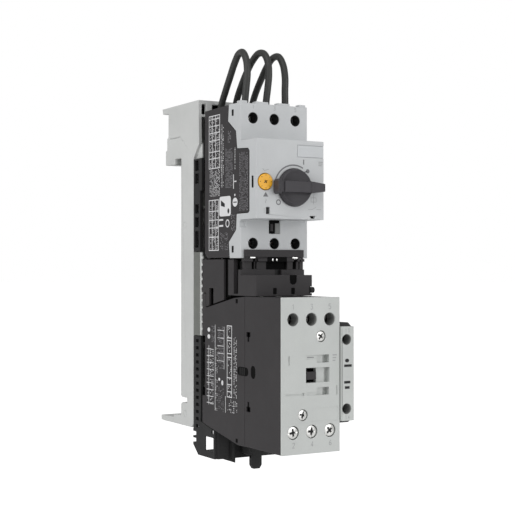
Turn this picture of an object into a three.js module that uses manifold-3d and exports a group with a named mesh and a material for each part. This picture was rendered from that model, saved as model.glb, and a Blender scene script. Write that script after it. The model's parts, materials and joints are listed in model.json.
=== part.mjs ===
// Motor starter on a busbar adapter: a motor protection breaker with a rotary handle, a plug-in
// link module, a contactor with a side auxiliary contact, and the adapter that carries them.
// Millimetres, +X to the right as seen from the front, +Y to the back, +Z up.
// Pieces are drawn about the centre of the breaker's front panel; the finished group is then moved
// so that its origin is the contact face of the middle busbar clamp.
import * as THREE from "three";
import { mergeVertices } from "three/addons/utils/BufferGeometryUtils.js";
import Module from "manifold-3d";

const wasm = await Module();
wasm.setup();

// ---- driving dimensions ----
const HALF = 22.5; // half of the 45 mm module width
const WALL = 2.2; // wall of the moulded shells

const POLES = [-14.0, 0.2, 14.4]; // breaker terminals, across
const POLE_Z = 36; // breaker terminals, above and below the panel centre
const HANDLE = { x: 2.3, z: -4.5 }; // axis of the rotary handle
const DIAL = { x: -16.4, z: -1.8, r: 4.5 }; // current setting dial
const PANEL = 22.5; // half height of the raised front panel
const TERMINAL_Y = 17.9; // face of the terminal blocks
const BREAKER_TOP = 44.4;
const BREAKER_BACK = 61.8;

const RAIL = { front: 62.2, back: 69.7, half: 17.5, neck: 12.5, sheet: 1.0 }; // 35 mm top-hat rail
const RAIL_UPPER_Z = 0;
const RAIL_LOWER_Z = -108.5;

const BODY = { left: -22.5, right: 15.15, top: -66, bottom: -151 }; // front part of the contactor
const LINK_RIGHT = 14.5; // front part of the link module
const FACE_Y = -27.3; // contactor front
const SEAM_Y = 12.6; // joint between the contactor's front and back housings
const WAYS = [-14.8, -3.0, 8.8]; // contactor terminals, across
const AUX = { left: 15.5, right: 23.4, top: -80.4, bottom: -136 };
const AUX_SCREW_X = 18.75;

const CARRIER = { top: 52.3, bottom: -147.7, rear: 94, front: 77 };
const BUS_PITCH = 60;
const BUS_TOPS = [12, 12 - BUS_PITCH, 12 - 2 * BUS_PITCH]; // upper edge of each busbar
const BUS_HEIGHT = 12;
const CONTACT_Y = 94.3; // face that the busbars lie on
const RACK_PITCH = 4.3;
const RACK_BOTTOM = -163.3;

const LEAD_D = 4.1;
const CORE_TRAVEL = 4.6;

// ---- materials ----
const skin = (color, roughness, metalness = 0) =>
  new THREE.MeshStandardMaterial({ color, roughness, metalness });
const LOOK = {
  carrier: skin(0xc6c9c8, 0.55),
  cover: skin(0xc3c5c8, 0.5),
  face: skin(0xc0c4c2, 0.5),
  dark: skin(0x434143, 0.55),
  handle: skin(0x555356, 0.45),
  black: skin(0x2a2a2b, 0.6),
  yellow: skin(0xf0b932, 0.45),
  label: skin(0xcfd2d4, 0.4),
  lead: skin(0x3c3d3b, 0.5),
  zinc: skin(0x9a9c99, 0.4, 0.9),
  screw: skin(0xc9cac8, 0.3, 1),
  tin: skin(0xb5b6b2, 0.35, 1),
  iron: skin(0x6d6e70, 0.5, 0.8),
  spring: skin(0x8d8f91, 0.35, 1),
  coil: skin(0x8a3b1d, 0.45),
};

// ---- shape helpers ----
const EX = new THREE.Vector3(1, 0, 0);
const EY = new THREE.Vector3(0, 1, 0);
const EZ = new THREE.Vector3(0, 0, 1);
const outline = (points) => new THREE.Shape(points.map(([a, b]) => new THREE.Vector2(a, b)));

// A closed mesh as a solid that can be joined and cut.
function solid(geometry) {
  const bare = new THREE.BufferGeometry();
  bare.setAttribute("position", geometry.getAttribute("position"));
  if (geometry.index) bare.setIndex(geometry.index);
  const merged = mergeVertices(bare, 1e-4);
  return new wasm.Manifold(
    new wasm.Mesh({
      numProp: 3,
      vertProperties: merged.attributes.position.array,
      triVerts: new Uint32Array(merged.index.array),
    })
  );
}

function extruded(points, from, to, across, up, along) {
  const geometry = new THREE.ExtrudeGeometry(outline(points), { depth: to - from, bevelEnabled: false });
  geometry.translate(0, 0, from);
  return solid(geometry.applyMatrix4(new THREE.Matrix4().makeBasis(across, up, along)));
}
// Outlines in the side view (y, z), the front view (x, z) and the plan (x, y).
const sideProfile = (points, x0, x1) => extruded(points, x0, x1, EY, EZ, EX);
const frontProfile = (points, y0, y1) => extruded(points, -y1, -y0, EX, EZ, EY.clone().negate());
const planProfile = (points, z0, z1) => extruded(points, z0, z1, EX, EY, EZ);

function box(x0, x1, y0, y1, z0, z1) {
  const geometry = new THREE.BoxGeometry(x1 - x0, y1 - y0, z1 - z0);
  return solid(geometry.translate((x0 + x1) / 2, (y0 + y1) / 2, (z0 + z1) / 2));
}

// A cylinder or cone along Y.
function roundY(x, z, r, y0, y1, sides = 28, rBack = r) {
  return solid(new THREE.CylinderGeometry(rBack, r, y1 - y0, sides).translate(x, (y0 + y1) / 2, z));
}

function roundX(y, z, r, x0, x1, sides = 20) {
  const geometry = new THREE.CylinderGeometry(r, r, x1 - x0, sides).rotateZ(-Math.PI / 2);
  return solid(geometry.translate((x0 + x1) / 2, y, z));
}

const join = (first, ...others) => others.flat().reduce((sum, part) => sum.add(part), first);
const cut = (body, ...tools) => tools.flat().reduce((rest, tool) => rest.subtract(tool), body);
const bothSides = (make) => [make(-1), make(1)];
// A box whose X span is mirrored for side -1.
const sideBox = (side, x0, x1, ...rest) => (side > 0 ? box(x0, x1, ...rest) : box(-x1, -x0, ...rest));
// The same for a plate with a side-view outline.
const sidePlate = (side, points, x0, x1) =>
  side > 0 ? sideProfile(points, x0, x1) : sideProfile(points, -x1, -x0);

const starter = new THREE.Group();

function add(name, body, material) {
  const { vertProperties, triVerts, numProp, numVert } = body.getMesh();
  const places = new Float32Array(numVert * 3);
  for (let i = 0; i < numVert; i++) {
    places.set(vertProperties.subarray(i * numProp, i * numProp + 3), i * 3);
  }
  const indexed = new THREE.BufferGeometry();
  indexed.setAttribute("position", new THREE.BufferAttribute(places, 3));
  indexed.setIndex(new THREE.BufferAttribute(triVerts, 1));
  const geometry = indexed.toNonIndexed();
  geometry.computeVertexNormals();
  const mesh = new THREE.Mesh(geometry, material);
  mesh.name = name;
  starter.add(mesh);
}

// A round bar along a smooth curve through the points.
function tube(points, diameter, steps, sides = 8) {
  const through = () => new THREE.CatmullRomCurve3(points.map((p) => new THREE.Vector3(...p)));
  const path = points instanceof THREE.Curve ? points : through();
  const ring = Array.from({ length: sides }, (_, i) => {
    const turn = (2 * Math.PI * i) / sides;
    return [(diameter / 2) * Math.cos(turn), (diameter / 2) * Math.sin(turn)];
  });
  return solid(new THREE.ExtrudeGeometry(outline(ring), { steps, bevelEnabled: false, extrudePath: path }));
}

// A pan-head screw along Y, its head towards the front, with a cross recess and a straight slot.
function screw(x, z, y, r, length) {
  const head = roundY(x, z, r, y, y + 2.6, 24);
  const shank = roundY(x, z, r * 0.55, y + 2.5, y + length, 16);
  const arm = r * 0.62;
  const recess = [
    box(x - arm, x + arm, y - 1, y + 1.3, z - 0.45, z + 0.45),
    box(x - 0.45, x + 0.45, y - 1, y + 1.3, z - arm, z + arm),
  ];
  return cut(join(head, shank), recess);
}

// ---- adapter ----
function adapterCarrier() {
  const profile = [
    [70.2, CARRIER.top], [121.4, CARRIER.top], [120.4, 48.8], [112.4, 48.6], [112.5, 33.2], [114.3, 32.6],
    [114.3, 25.2], [116.2, 24.7], [116.2, 15.6], [102.8, 15.4], [102.8, 18.8], [CARRIER.rear, 18.8],
    [CARRIER.rear, -129.4], [92.3, -130.3], [85.7, -130.3], [85.7, -133.5], [92.3, -133.5],
    [CARRIER.rear, -134.6], [CARRIER.rear, -141.6], [104.2, -142.2], [104.2, -143.9], [122.5, -144.4],
    [122.5, -147.3], [120, CARRIER.bottom], [79.5, CARRIER.bottom], [CARRIER.front, -145.4],
    [CARRIER.front, 17.2], [69.5, 25.8],
  ];
  const inside = HALF - WALL;
  const shell = sideProfile(profile, -HALF, HALF);
  const pocket = [
    box(-inside, inside, 60, 91, -145.2, 42),
    box(-inside, inside, 72.6, 91, 41, 49.9),
    // hollow of the upper hook block, open at the bottom between its side walls
    box(-inside, inside, 97, 110, 10, 46),
  ];
  const leadPorts = [[-20.2, -17.4], [-13.1, -3.2], [1.4, 9.2], [13, 20.2]];
  const topSlots = leadPorts.map(([left, right]) => box(left, right, 69, 73, 43.6, 50));
  const clampPorts = BUS_TOPS.map((top) => box(-5.5, 5.5, 90, 95, top - 12.6, top + 6.9));
  const barLows = BUS_TOPS.map((top) => top - BUS_HEIGHT);
  const jawPorts = barLows.map((low) => box(9.4, 17.6, 90, 95, low - 9, low + 0.3));
  const lockPort = box(9.4, 17.6, 86.4, 91, -149, -144);
  const seam = box(-HALF - 1, -HALF + 0.25, 95.5, 109.5, 31.9, 32.2);
  const sprueMarks = [-23.4, -140.1].map((z) => roundX(88.3, z, 2, -HALF - 1, -HALF + 0.25));
  const web = box(-20.4, -19.2, 69.6, 91, 16.9, 26.2); // closes the side above the bracket
  return join(cut(shell, pocket, topSlots, clampPorts, jawPorts, lockPort, seam, sprueMarks), web);
}

// Contact clamp that hooks over one busbar, seen from the side as a C open downwards.
function busbarClamp(top) {
  const profile = [
    [84, top - 2.2], [84, top - 12], [CONTACT_Y, top - 12], [CONTACT_Y, top + 0.4], [104.8, top + 0.4],
    [104.8, top - 3], [107, top - 3], [107, top + 3], [102.4, top + 3], [102.4, top + 6.4],
    [90.6, top + 6.4], [90.6, top - 2.2],
  ];
  return cut(sideProfile(profile, -5, 5), box(-6, 6, 85.6, 89, top - 13, top - 4.4));
}

// Sliding lock: a spine with one jaw under each busbar, and an arm that reaches forward under the
// rack to a pull tongue below the contactor.
function lockSlide() {
  const [armLow, armHigh] = [-156.6, -152.8];
  const spine = box(10, 17, 87, 90.4, armLow, 30);
  const jaws = BUS_TOPS.map((top) => box(10, 17, 90, 100, top - BUS_HEIGHT - 4.2, top - BUS_HEIGHT - 0.4));
  const shoulder = box(2.6, 10.2, 84.6, 90.2, -132.6, -129.8);
  const arm = [
    box(10, 17, 74, 90.4, armLow, armHigh),
    box(-4.2, 17, 74, 78, armLow, armHigh),
    box(-4.2, 4.2, 41.6, 78, armLow, armHigh),
  ];
  const yoke = box(-5.4, 4.2, 37.6, 47.9, -160.4, armHigh);
  const tongue = frontProfile(
    [[-3.9, armHigh], [-3.9, -166.6], [-2.5, -168.8], [1.7, -168.8], [3.1, -166.6], [3.1, armHigh]],
    37.4,
    40.6
  );
  return join(spine, jaws, shoulder, arm, yoke, tongue);
}

class Helix extends THREE.Curve {
  constructor(centre, radius, pitch, turns) {
    super();
    Object.assign(this, { centre, radius, pitch, turns });
  }
  getPoint(t, target = new THREE.Vector3()) {
    const turn = 2 * Math.PI * this.turns * t;
    const [x, y, z] = this.centre;
    const [across, deep] = [this.radius * Math.cos(turn), this.radius * Math.sin(turn)];
    return target.set(x + across, y + deep, z + this.pitch * this.turns * t);
  }
}

// Black bracket that holds the upper rail: two long windowed cheeks and a web behind the rail.
function upperBracket() {
  const cheek = [[66, 16.5], [76.6, 16.5], [76.6, -39.8], [68.2, -39.8], [68.2, -3.1], [66, -3.1]];
  const windows = [[9.2, 15.5], [1.4, 7.5], [-16.8, -11.2], [-25.1, -19.1], [-37.6, -27.5]];
  const cheeks = bothSides((side) =>
    cut(
      sidePlate(side, cheek, 20.6, HALF),
      windows.map(([low, high]) => sideBox(side, 20, 23, 69.9, 74.8, low, high))
    )
  );
  return join(box(-20.8, 20.8, 70.2, 72.4, -2.8, 16.2), cheeks);
}

// Black rack under the lower rail: two toothed cheeks, a web behind the rail, a floor and a front wall.
function lowerRack() {
  const cheek = [
    [66.9, -91.4], [76.6, -91.4], [76.6, -147.9], [77.2, -147.9], [77.2, -149.5], [73.2, -149.5],
    [73.2, -152.2], [77.2, -152.2], [77.2, -153.5], [73.2, -153.5], [73.2, -156.1], [77.2, -156.1],
    [77.2, -157.5], [70.4, RACK_BOTTOM], [49.2, RACK_BOTTOM], [49.2, -146.25], [58.6, -144.55],
    [65.2, -142.95], [66.9, -142.8],
  ];
  const cheeks = bothSides((side) => {
    const holes = [
      sideBox(side, 20, 23, 50.8, 61.2, -159.2, -150.9),
      sideBox(side, 20, 21.9, 50.7, 63.4, -160.6, -149.5), // thinned wall around the window
      sideBox(side, 20, 21.9, 50.7, 54.6, -150, -146),
      roundX(52, -147.4, 1.35, side * 21.5 - 2, side * 21.5 + 2, 16),
    ];
    for (let z = -95.2; z > -148; z -= RACK_PITCH) {
      holes.push(sideBox(side, 20, 23, 69.7, 73.5, z, z + 1.9));
    }
    return cut(sidePlate(side, cheek, 20.6, HALF), holes);
  });
  const web = box(-20.8, 20.8, 70.2, 73.6, -144.4, -91.6);
  const floor = box(-20.8, 20.8, 49.2, 73, RACK_BOTTOM, -161.1);
  const frontWall = cut(
    box(-20.7, 20.7, 48.2, 50.2, RACK_BOTTOM, -146.7),
    box(-4.6, 17.6, 47, 52, -161, -151)
  );
  const ribs = [-12.4, 18.4].map((x) => box(x, x + 1.5, 45.6, 48.4, RACK_BOTTOM, -149.5));
  const hook = frontProfile([[-16.4, -163.6], [-16.4, -162.2], [-8.8, -162.2], [-8.8, -166.2]], 48.4, 50.2);
  return join(cheeks[0], cheeks[1], web, floor, frontWall, ribs, hook);
}

// Zinc-plated channel beside the rails, seen in plan as an L.
function sideChannel(side) {
  const plan = [[22.4, 68.5], [22.4, 76.6], [19.2, 76.6], [19.2, 75.4], [21.2, 75.4], [21.2, 68.5]];
  return planProfile(plan.map(([x, y]) => [side * x, y]), -91, -40.3);
}

function topHatRail(z) {
  const { front, back, half, neck, sheet } = RAIL;
  const profile = [
    [front, half], [front + sheet, half], [front + sheet, neck + sheet], [back, neck + sheet],
    [back, -neck - sheet], [front + sheet, -neck - sheet], [front + sheet, -half], [front, -half],
    [front, -neck], [back - sheet, -neck], [back - sheet, neck], [front, neck],
  ].map(([y, dz]) => [y, z + dz]);
  const slots = [-12, 12].map((x) => box(x - 5, x + 5, back - 2, back + 1, z - 2.6, z + 2.6));
  return cut(sideProfile(profile, -20.3, 20.3), slots);
}

// Supply leads: from a terminal on top of the breaker, over in a loop, and down to one busbar clamp.
const LEAD_ROUTES = {
  line_lead_left: [
    [-14, 27.7, 40.8], [-14, 27.5, 47], [-14, 26, 55], [-14, 24.8, 63], [-13.9, 26.2, 70.5],
    [-13.8, 30.5, 75.6], [-13.4, 36, 75.6], [-13, 41.6, 71.4], [-12.2, 48.6, 64.4], [-11.2, 56.4, 56.6],
    [-10.4, 62.6, 49.8], [-9.8, 66.2, 43.2], [-8.6, 70, 36.4], [-6, 76, 31], [-2.6, 82.6, 27],
    [-0.4, 86.6, 20.5], [0, 87.2, 10.4],
  ],
  line_lead_middle: [
    [0.3, 27.9, 40.8], [0.4, 27.9, 47], [0.7, 26.6, 55], [0.9, 25.6, 63], [0.9, 26.6, 70.5],
    [0.7, 30.6, 76], [0.4, 36.6, 77.2], [0.2, 43.4, 74], [0.1, 50.4, 68], [0, 57, 60.6],
    [0, 62.4, 53.2], [0, 65.8, 45], [0, 68.6, 37.6], [0, 74, 31], [0, 79, 24], [0, 80.4, 14],
    [0, 80.4, -4], [0, 80.4, -24], [0, 81.6, -36], [0, 86, -42.5], [0, 87.2, -49.6],
  ],
  line_lead_right: [
    [13.8, 28.6, 40.8], [13.9, 28.7, 47], [14, 29, 55], [14.2, 29.2, 63], [14.1, 31.4, 71],
    [13.8, 36.2, 76.4], [13.4, 42, 76.4], [13, 48.6, 72], [12.6, 54.4, 65.6], [12.2, 60, 58.6],
    [11.8, 64, 51.6], [11.2, 66.2, 44], [10.2, 69, 37], [8.2, 74.6, 31.4], [6.6, 79.2, 24],
    [6.2, 80.4, 14], [6.2, 80.4, -4], [6.2, 80.4, -34], [6.2, 80.4, -64], [5.6, 80.4, -84],
    [3.6, 81.6, -96], [1, 85.6, -102.4], [0.2, 87.2, -109.6],
  ],
};

// ---- breaker ----
function breakerBase() {
  const profile = [
    [BREAKER_BACK, 44.2], [32.1, 44.5], [33, 35], [23.6, 28.4], [22.1, 18.1], [9.5, 17.3], [7.9, 15.8],
    [7.9, -17.9], [9.6, -18.6], [22.7, -18.7], [23.4, -27.9], [32.1, -34.7], [31.1, -44.1], [59.2, -44.1],
    [BREAKER_BACK, -41.4],
  ];
  const inside = HALF - WALL;
  const shell = sideProfile(profile, -22.4, 22.4);
  const pocket = [box(-inside, inside, 5, 59.4, -15.6, 15.2), box(-inside, inside, 18, 59.4, -41.9, 42)];
  const upperClaw = join(box(-8, 8, 61, 66, 17.8, 20.4), box(-8, 8, 63.6, 66, 14.4, 18));
  const latchPocket = box(-6.5, 6.5, 55.8, 63, -46, -17.4);
  return cut(join(shell, upperClaw), pocket, latchPocket);
}

function breakerCover() {
  const profile = [
    [0, PANEL], [TERMINAL_Y, PANEL], [TERMINAL_Y, BREAKER_TOP], [31.6, 44.8], [32.6, 35.1], [23.2, 28.6],
    [21.7, 18.4], [9.1, 17.6], [7.5, 16], [7.5, -18.1], [9.2, -19], [22.3, -19.1], [23, -28.2], [31.7, -35],
    [30.7, -BREAKER_TOP], [TERMINAL_Y, -BREAKER_TOP], [TERMINAL_Y, -PANEL], [0, -PANEL],
  ];
  const inside = HALF - 1.9;
  const padEnds = [[-22, -17.4], [-11.9, -3.4], [2.8, 11], [17.4, 21.8]];
  const pads = padEnds.map(([left, right]) => box(left, right, 18.6, 23, 44.2, 45.8));
  const pocket = [box(-inside, inside, 1.9, 40, -20.6, 20.6), box(-inside, inside, 19.8, 40, -42.5, 42.5)];
  const places = POLES.flatMap((x) => [[x, -POLE_Z], [x, POLE_Z]]);
  const wells = places.map(([x, z]) => roundY(x, z, 4.3, 19, 25, 20));
  const shell = join(cut(join(sideProfile(profile, -HALF, HALF), pads), pocket), wells);
  const screwHoles = places.map(([x, z]) => roundY(x, z, 3.25, 16, 27, 24));
  const wireHoles = POLES.flatMap((x) => [
    box(x - 3.6, x + 3.6, 22.8, 30.9, 41, 47),
    box(x - 4, x + 4, 22.8, 30, -47, -41),
  ]);
  const sideSlots = [[37.7, 41.4], [-41.2, -37.3]].map(([a, b]) => box(-23, -20, 26, 28.7, a, b));
  const front = [
    roundY(DIAL.x, DIAL.z, DIAL.r + 0.35, -1, 3),
    roundY(HANDLE.x, HANDLE.z, 4, -1, 3),
    box(4.8, 23, -1, 1.1, 13, 19.8), // marker recess
    box(-15.9, -13.5, -1, 3, -19.8, -16), // test port
    frontProfile([[12.7, -20.4], [17, -20.4], [15.9, -21.9], [14, -21.9]], -1, 1.4),
    box(-3.5, 4, 16, 21, -30.3, -22.1), // auxiliary contact port
    box(-23, -18.8, 16, 19.3, -26.9, -23.3), // latch recess
    box(-23, -20, 3, 5.3, -5.1, 1.6), // side slit
  ];
  return cut(shell, screwHoles, wireHoles, sideSlots, front);
}

// Rotary handle: a conical skirt with a grip bar across it, blunt at one end and tapered at the other.
function rotaryHandle() {
  const { x, z } = HANDLE;
  const skirt = roundY(x, z, 10.2, -3.5, -0.5, 48, 10.9);
  const half = [[-14.1, 2.9], [-13.3, 4.1], [-12.1, 4.1], [-11.5, 3.15], [7.2, 3.15], [8, 3.45], [16.9, 2.2]];
  const bar = [...half.map(([a, b]) => [x + a, z - b]), ...half.toReversed().map(([a, b]) => [x + a, z + b])];
  const groove = box(x - 12.1, x - 10, -8, -6.2, z - 5, z + 5);
  const scoops = [-1, 1].map((side) => {
    const dish = solid(new THREE.CylinderGeometry(7, 7, 3, 32).translate(x, -4.2, z + side * 9.2));
    const [low, high] = [z + side * 3, z + side * 12].sort((a, b) => a - b);
    return dish.intersect(box(x - 8, x + 8, -6, -3, low, high));
  });
  return cut(join(skirt, frontProfile(bar, -7.2, -0.9)), groove, scoops);
}

function handleShaft() {
  const { x, z } = HANDLE;
  const crank = box(x - 1.5, x + 1.5, 28, 32, z + 4, z + 11);
  return join(roundY(x, z, 3.4, -0.1, 30, 20), roundY(x, z, 6.2, 27, 33, 24), crank);
}

function currentDial() {
  const { x, z, r } = DIAL;
  const slot = box(-2.4, 2.4, -2, 0.5, -0.55, 0.55).rotate([0, 35, 0]).translate([x, 0, z]);
  return cut(join(roundY(x, z, r, -0.6, 2.4, 32), roundY(x, z, 2, 2.3, 9, 16)), slot);
}

// Magnetic and thermal release: three coils on a common frame.
function tripUnit() {
  const frame = box(-19.2, 19.2, 36, 55.4, -39, -33);
  const coils = POLES.map((x) =>
    join(
      box(x - 5, x + 5, 38, 55, -33.5, -29),
      roundY(x, -20, 5.6, 38, 55, 20),
      box(x - 2, x + 2, 40, 52, -30, -18)
    )
  );
  return join(frame, coils);
}

// ---- link module ----
function linkPin(top, low) {
  const [left, right] = [Math.min(top, low) - 2, Math.max(top, low) + 2];
  return join(
    box(top - 2, top + 2, 26.2, 27.8, -59.4, -41.5),
    box(left, right, 7.2, 27.8, -59.4, -57.8),
    box(low - 2, low + 2, 7.2, 8.8, -72.5, -57.8)
  );
}

// Room around the three pins, grown by a clearance.
function pinRoom(clearance) {
  return POLES.flatMap((top, i) => {
    const low = WAYS[i];
    const [left, right] = [Math.min(top, low) - 2 - clearance, Math.max(top, low) + 2 + clearance];
    const [front, back] = [7.2 - clearance, 27.8 + clearance];
    return [
      box(top - 2 - clearance, top + 2 + clearance, 26.2 - clearance, back, -59.4 - clearance, -40),
      box(left, right, front, back, -59.4 - clearance, -57.8 + clearance),
      box(low - 2 - clearance, low + 2 + clearance, front, 8.8 + clearance, -70, -57.8),
    ];
  });
}

function linkHousing() {
  const bottom = BODY.top + 0.1;
  const body = join(
    box(BODY.left, LINK_RIGHT, 0, 20.5, bottom, -54.1),
    box(BODY.left, 20.8, TERMINAL_Y + 0.4, 20.5, bottom, -51), // step under the prongs
    [[-19.8, -5], [9.2, 20.1]].map(([a, b]) => box(a, b, 18.6, 20.5, -51.2, -45)), // prongs
    box(-20.4, 20.2, 17, 20.5, -46.4, -44.8), // hood over the prongs
    box(-20.4, 19.2, 17, 17.55, -46.4, -39.8), // sheet in front of the breaker's lower terminals
    box(-20.4, 19.2, 16.2, 17.1, -43.7, -39.6), // lip
    box(-22.2, 22.2, 20.3, 32.5, bottom, bottom + 1), // floor
    bothSides((side) => sideBox(side, 19.6, 22.3, 26.2, 32.6, bottom, -45.2)) // side ribs
  );
  const prongSlots = [[-14.5, -12.9], [-12.3, -11.4], [13, 15.4], [17, 17.6]];
  const openings = [
    ...prongSlots.map(([a, b]) => box(a, b, 16, 22, -50.9, -44.7)),
    box(0.7, 5.1, 17, 22, -54.3, -50),
    join(box(-0.3, 4.3, -1, 2.2, -57.4, -53), roundY(2, -57.3, 2.3, -1, 2.2, 20)),
    ...[-10.1, 1.8].map((x) => box(x - 1.2, x + 1.2, -1, 1.6, -65, -61.4)),
    roundX(0.7, -62.6, 2, LINK_RIGHT - 1.7, LINK_RIGHT + 1),
  ];
  return cut(body, openings, pinRoom(0.4));
}

const linkTerminalBlock = () => cut(box(-17.6, 17.8, 21, 32.4, BODY.top + 1.5, -46), pinRoom(0.4));

// Mechanical connector between breaker and contactor: two cheeks, toothed at the back, and a web.
function linkBracket() {
  const back = [];
  for (let z = -47; z > -62; z -= RACK_PITCH) {
    back.push([64.9, z], [64.9, z - 1.6], [66.3, z - 2.1], [66.3, z - 3.2]);
  }
  const profile = [
    [37.8, -45], [64.9, -45], ...back, [64.9, -64.9], [60.2, -64.9], [60.2, -73.1], [56.1, -72.4],
    [56.1, -62], [50.8, -62], [50.8, -71.2], [37.8, -68.7],
  ];
  return join(box(-21, 21, 44, 46.2, -60, -52), bothSides((side) => sidePlate(side, profile, 20.9, HALF)));
}

// ---- contactor ----
function contactorBase() {
  const profile = [
    [SEAM_Y + 0.3, -66.4], [26.1, -67.4], [60.6, -73.8], [60.6, -65.3], [65, -65.3], [65, -90.7],
    [61.6, -90.7], [61.6, -126.6], [65, -126.6], [65, -142.8], [58.6, -144.4], [20.8, -151.2],
    [SEAM_Y + 0.3, -151],
  ];
  const inside = HALF - WALL;
  const shell = sideProfile(profile, -HALF, HALF);
  const pocket = [
    box(-inside, BODY.right - WALL, 10, 20, -148.8, -69.6),
    box(-inside, inside, 17, 57, -143.6, -75.6),
  ];
  const claw = join(box(-8, 8, 61, 65, -90.8, -88), box(-8, 8, 63.6, 65.4, -94, -88));
  const latchPocket = box(-6.5, 6.5, 58.8, 67, -152, -126);
  const pinHoles = [[-70.3, -67.9], [-150, -147.7]].map(([a, b]) => box(-23, -20, 21.1, 23.7, a, b));
  return cut(join(shell, claw), pocket, latchPocket, pinHoles);
}

const COIL_SCREWS = [[3, -87.5], [-8.7, -129.9]];
const SUPPLY_Z = -78.1;
const MOTOR_Z = -139.1;

function contactorHousing() {
  const { left, right, top, bottom } = BODY;
  const wall = FACE_Y + 3.6; // back of the front wall
  const hollow = box(left + WALL, right - 1.6, wall, SEAM_Y + 1, bottom + 2.4, top - 2.4);
  const wells = WAYS.flatMap((x) => [
    roundY(x - 0.2, SUPPLY_Z, 4.5, wall - 0.5, FACE_Y + 9.5, 20),
    roundY(x, MOTOR_Z, 4.6, wall - 0.5, FACE_Y + 6, 20),
  ]);
  const shell = join(cut(box(left, right, FACE_Y + 1.2, SEAM_Y, bottom + 0.2, top - 0.2), hollow), wells);
  const holes = [
    ...WAYS.map((x) => roundY(x - 0.2, SUPPLY_Z, 3.5, FACE_Y, 0, 24)),
    ...WAYS.map((x) => roundY(x, MOTOR_Z, 3.75, FACE_Y, 0, 24)),
    ...COIL_SCREWS.map(([x, z]) => roundY(x, z, 3.2, FACE_Y, wall + 1, 24)),
    box(-7.7, 9.4, FACE_Y, wall + 1, -121.4, -96.2), // behind the windows of the faceplate
  ];
  const topEntries = WAYS.map((x) => box(x - 4, x + 4, 3, 12, top - 4, top + 1));
  const bottomEntries = WAYS.map((x) => box(x - 4, x + 4, -8, 2, bottom - 1, bottom + 4));
  const sideHoles = [
    // two hooked slots and an oval port in the left wall
    ...[[-91.6, -86.2], [-131, -125.4]].flatMap(([low, high], i) => {
      const half = (low + high) / 2;
      return [
        box(-23, -20, 6.5, 11, i ? low : half, i ? half : high),
        box(-23, -20, 7.8, 9.8, low, high),
      ];
    }),
    ...[-1, 0, 1].map((k) => roundX(3.45, -108.4 + k * 1.05, 2.6, -23, -20, 24)),
    box(right - 3, right + 1, -3.5, 7.2, -111, -105), // way through for the auxiliary drive lug
  ];
  return cut(shell, holes, topEntries, bottomEntries, sideHoles);
}

function contactorFaceplate() {
  const { left, right, top, bottom } = BODY;
  const plate = join(
    box(left, right, FACE_Y, FACE_Y + 0.9, bottom, top),
    box(-7.3, 9, FACE_Y + 0.8, FACE_Y + 4.4, -121, -96.6)
  );
  const [front, through] = [FACE_Y - 1, FACE_Y + 6];
  const ports = [
    ...WAYS.map((x) => roundY(x - 0.2, SUPPLY_Z, 3.55, front, through, 32)),
    ...WAYS.map((x) => roundY(x, MOTOR_Z, 3.7, front, through, 32)),
    ...COIL_SCREWS.map(([x, z]) => roundY(x, z, 3.15, front, through, 32)),
  ];
  const windows = [
    box(-6.4, 8.1, front, FACE_Y + 0.5, -99.9, -97.5),
    box(0.2, 8.1, front, FACE_Y + 1.6, -101.9, -97.5),
    box(4.7, 8.1, front, FACE_Y + 3.6, -101.9, -97.5),
    box(-6.9, 0.6, front, through, -112.6, -104.4),
    box(0, 8.4, front, FACE_Y + 1.8, -112.6, -104.4),
    box(5.7, 8.4, front, FACE_Y + 3.6, -112.6, -104.4),
    box(-6.4, 8.1, front, FACE_Y + 0.5, -119.5, -117.4),
    box(0.2, 8.1, front, FACE_Y + 1.6, -119.5, -115.2),
    box(4.7, 8.1, front, FACE_Y + 3.6, -119.5, -115.2),
  ];
  const marks = [
    box(-19.9, -9.7, front, FACE_Y + 0.4, -119.1, -118.1),
    box(-9.7, -8, front, FACE_Y + 0.7, -119.5, -117.8),
    box(-18, -17.3, front, FACE_Y + 0.6, -102.7, -97.7),
    box(12.9, 13.5, front, FACE_Y + 0.6, -119.8, -114.7),
    box(-3.3, 14.1, front, FACE_Y + 0.3, -134, -126.1),
  ];
  return cut(plate, ports, windows, marks);
}

// Moving contact carrier: the plunger seen in the front window and the bridge block behind it.
function contactCarrier() {
  const plunger = box(-6.1, 0, FACE_Y + 0.5, -14, -110.9, -106.6);
  const block = box(-17, 9, -14.2, 3, -119, -98);
  const neck = box(-9, 1, 2.8, 13.6, -112, -105);
  const lug = box(8.8, 18.6, -2.5, 1.5, -110, -106); // drives the auxiliary plunger
  const gallery = [-12.5, -0.7].map((x) => box(x - 2.6, x + 2.6, -9, -1, -120, -97));
  return cut(join(plunger, block, neck, lug), gallery);
}

// E-shaped iron: a yoke with three legs that point along Y.
function ironE(yoke0, yoke1, tip) {
  const legs = [[-125, -119], [-112.6, -104.4], [-98, -92]];
  const [near, far] = [Math.min(tip, yoke0), Math.max(tip, yoke1)];
  return join(
    box(-14.5, 6.5, yoke0, yoke1, -125, -92),
    legs.map(([low, high]) => box(-14.5, 6.5, near, far, low, high))
  );
}

function coilBobbin() {
  const winding = box(-18, 10, 33.4, 45.6, -117.6, -99.4);
  const flanges = [32, 45.4].map((y) => box(-18.6, 10.6, y, y + 1.6, -118.2, -98.8));
  return cut(join(winding, flanges), box(-15, 7, 30, 50, -113.1, -103.9));
}

class ShortSpring extends THREE.Curve {
  getPoint(t, target = new THREE.Vector3()) {
    const turn = 2 * Math.PI * 3 * t;
    return target.set(-4 + 2 * Math.cos(turn), 25.5 + 5.6 * t, -101.2 + 2 * Math.sin(turn));
  }
}

const AUX_SCREWS = [-89.6, -127.8];

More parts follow.
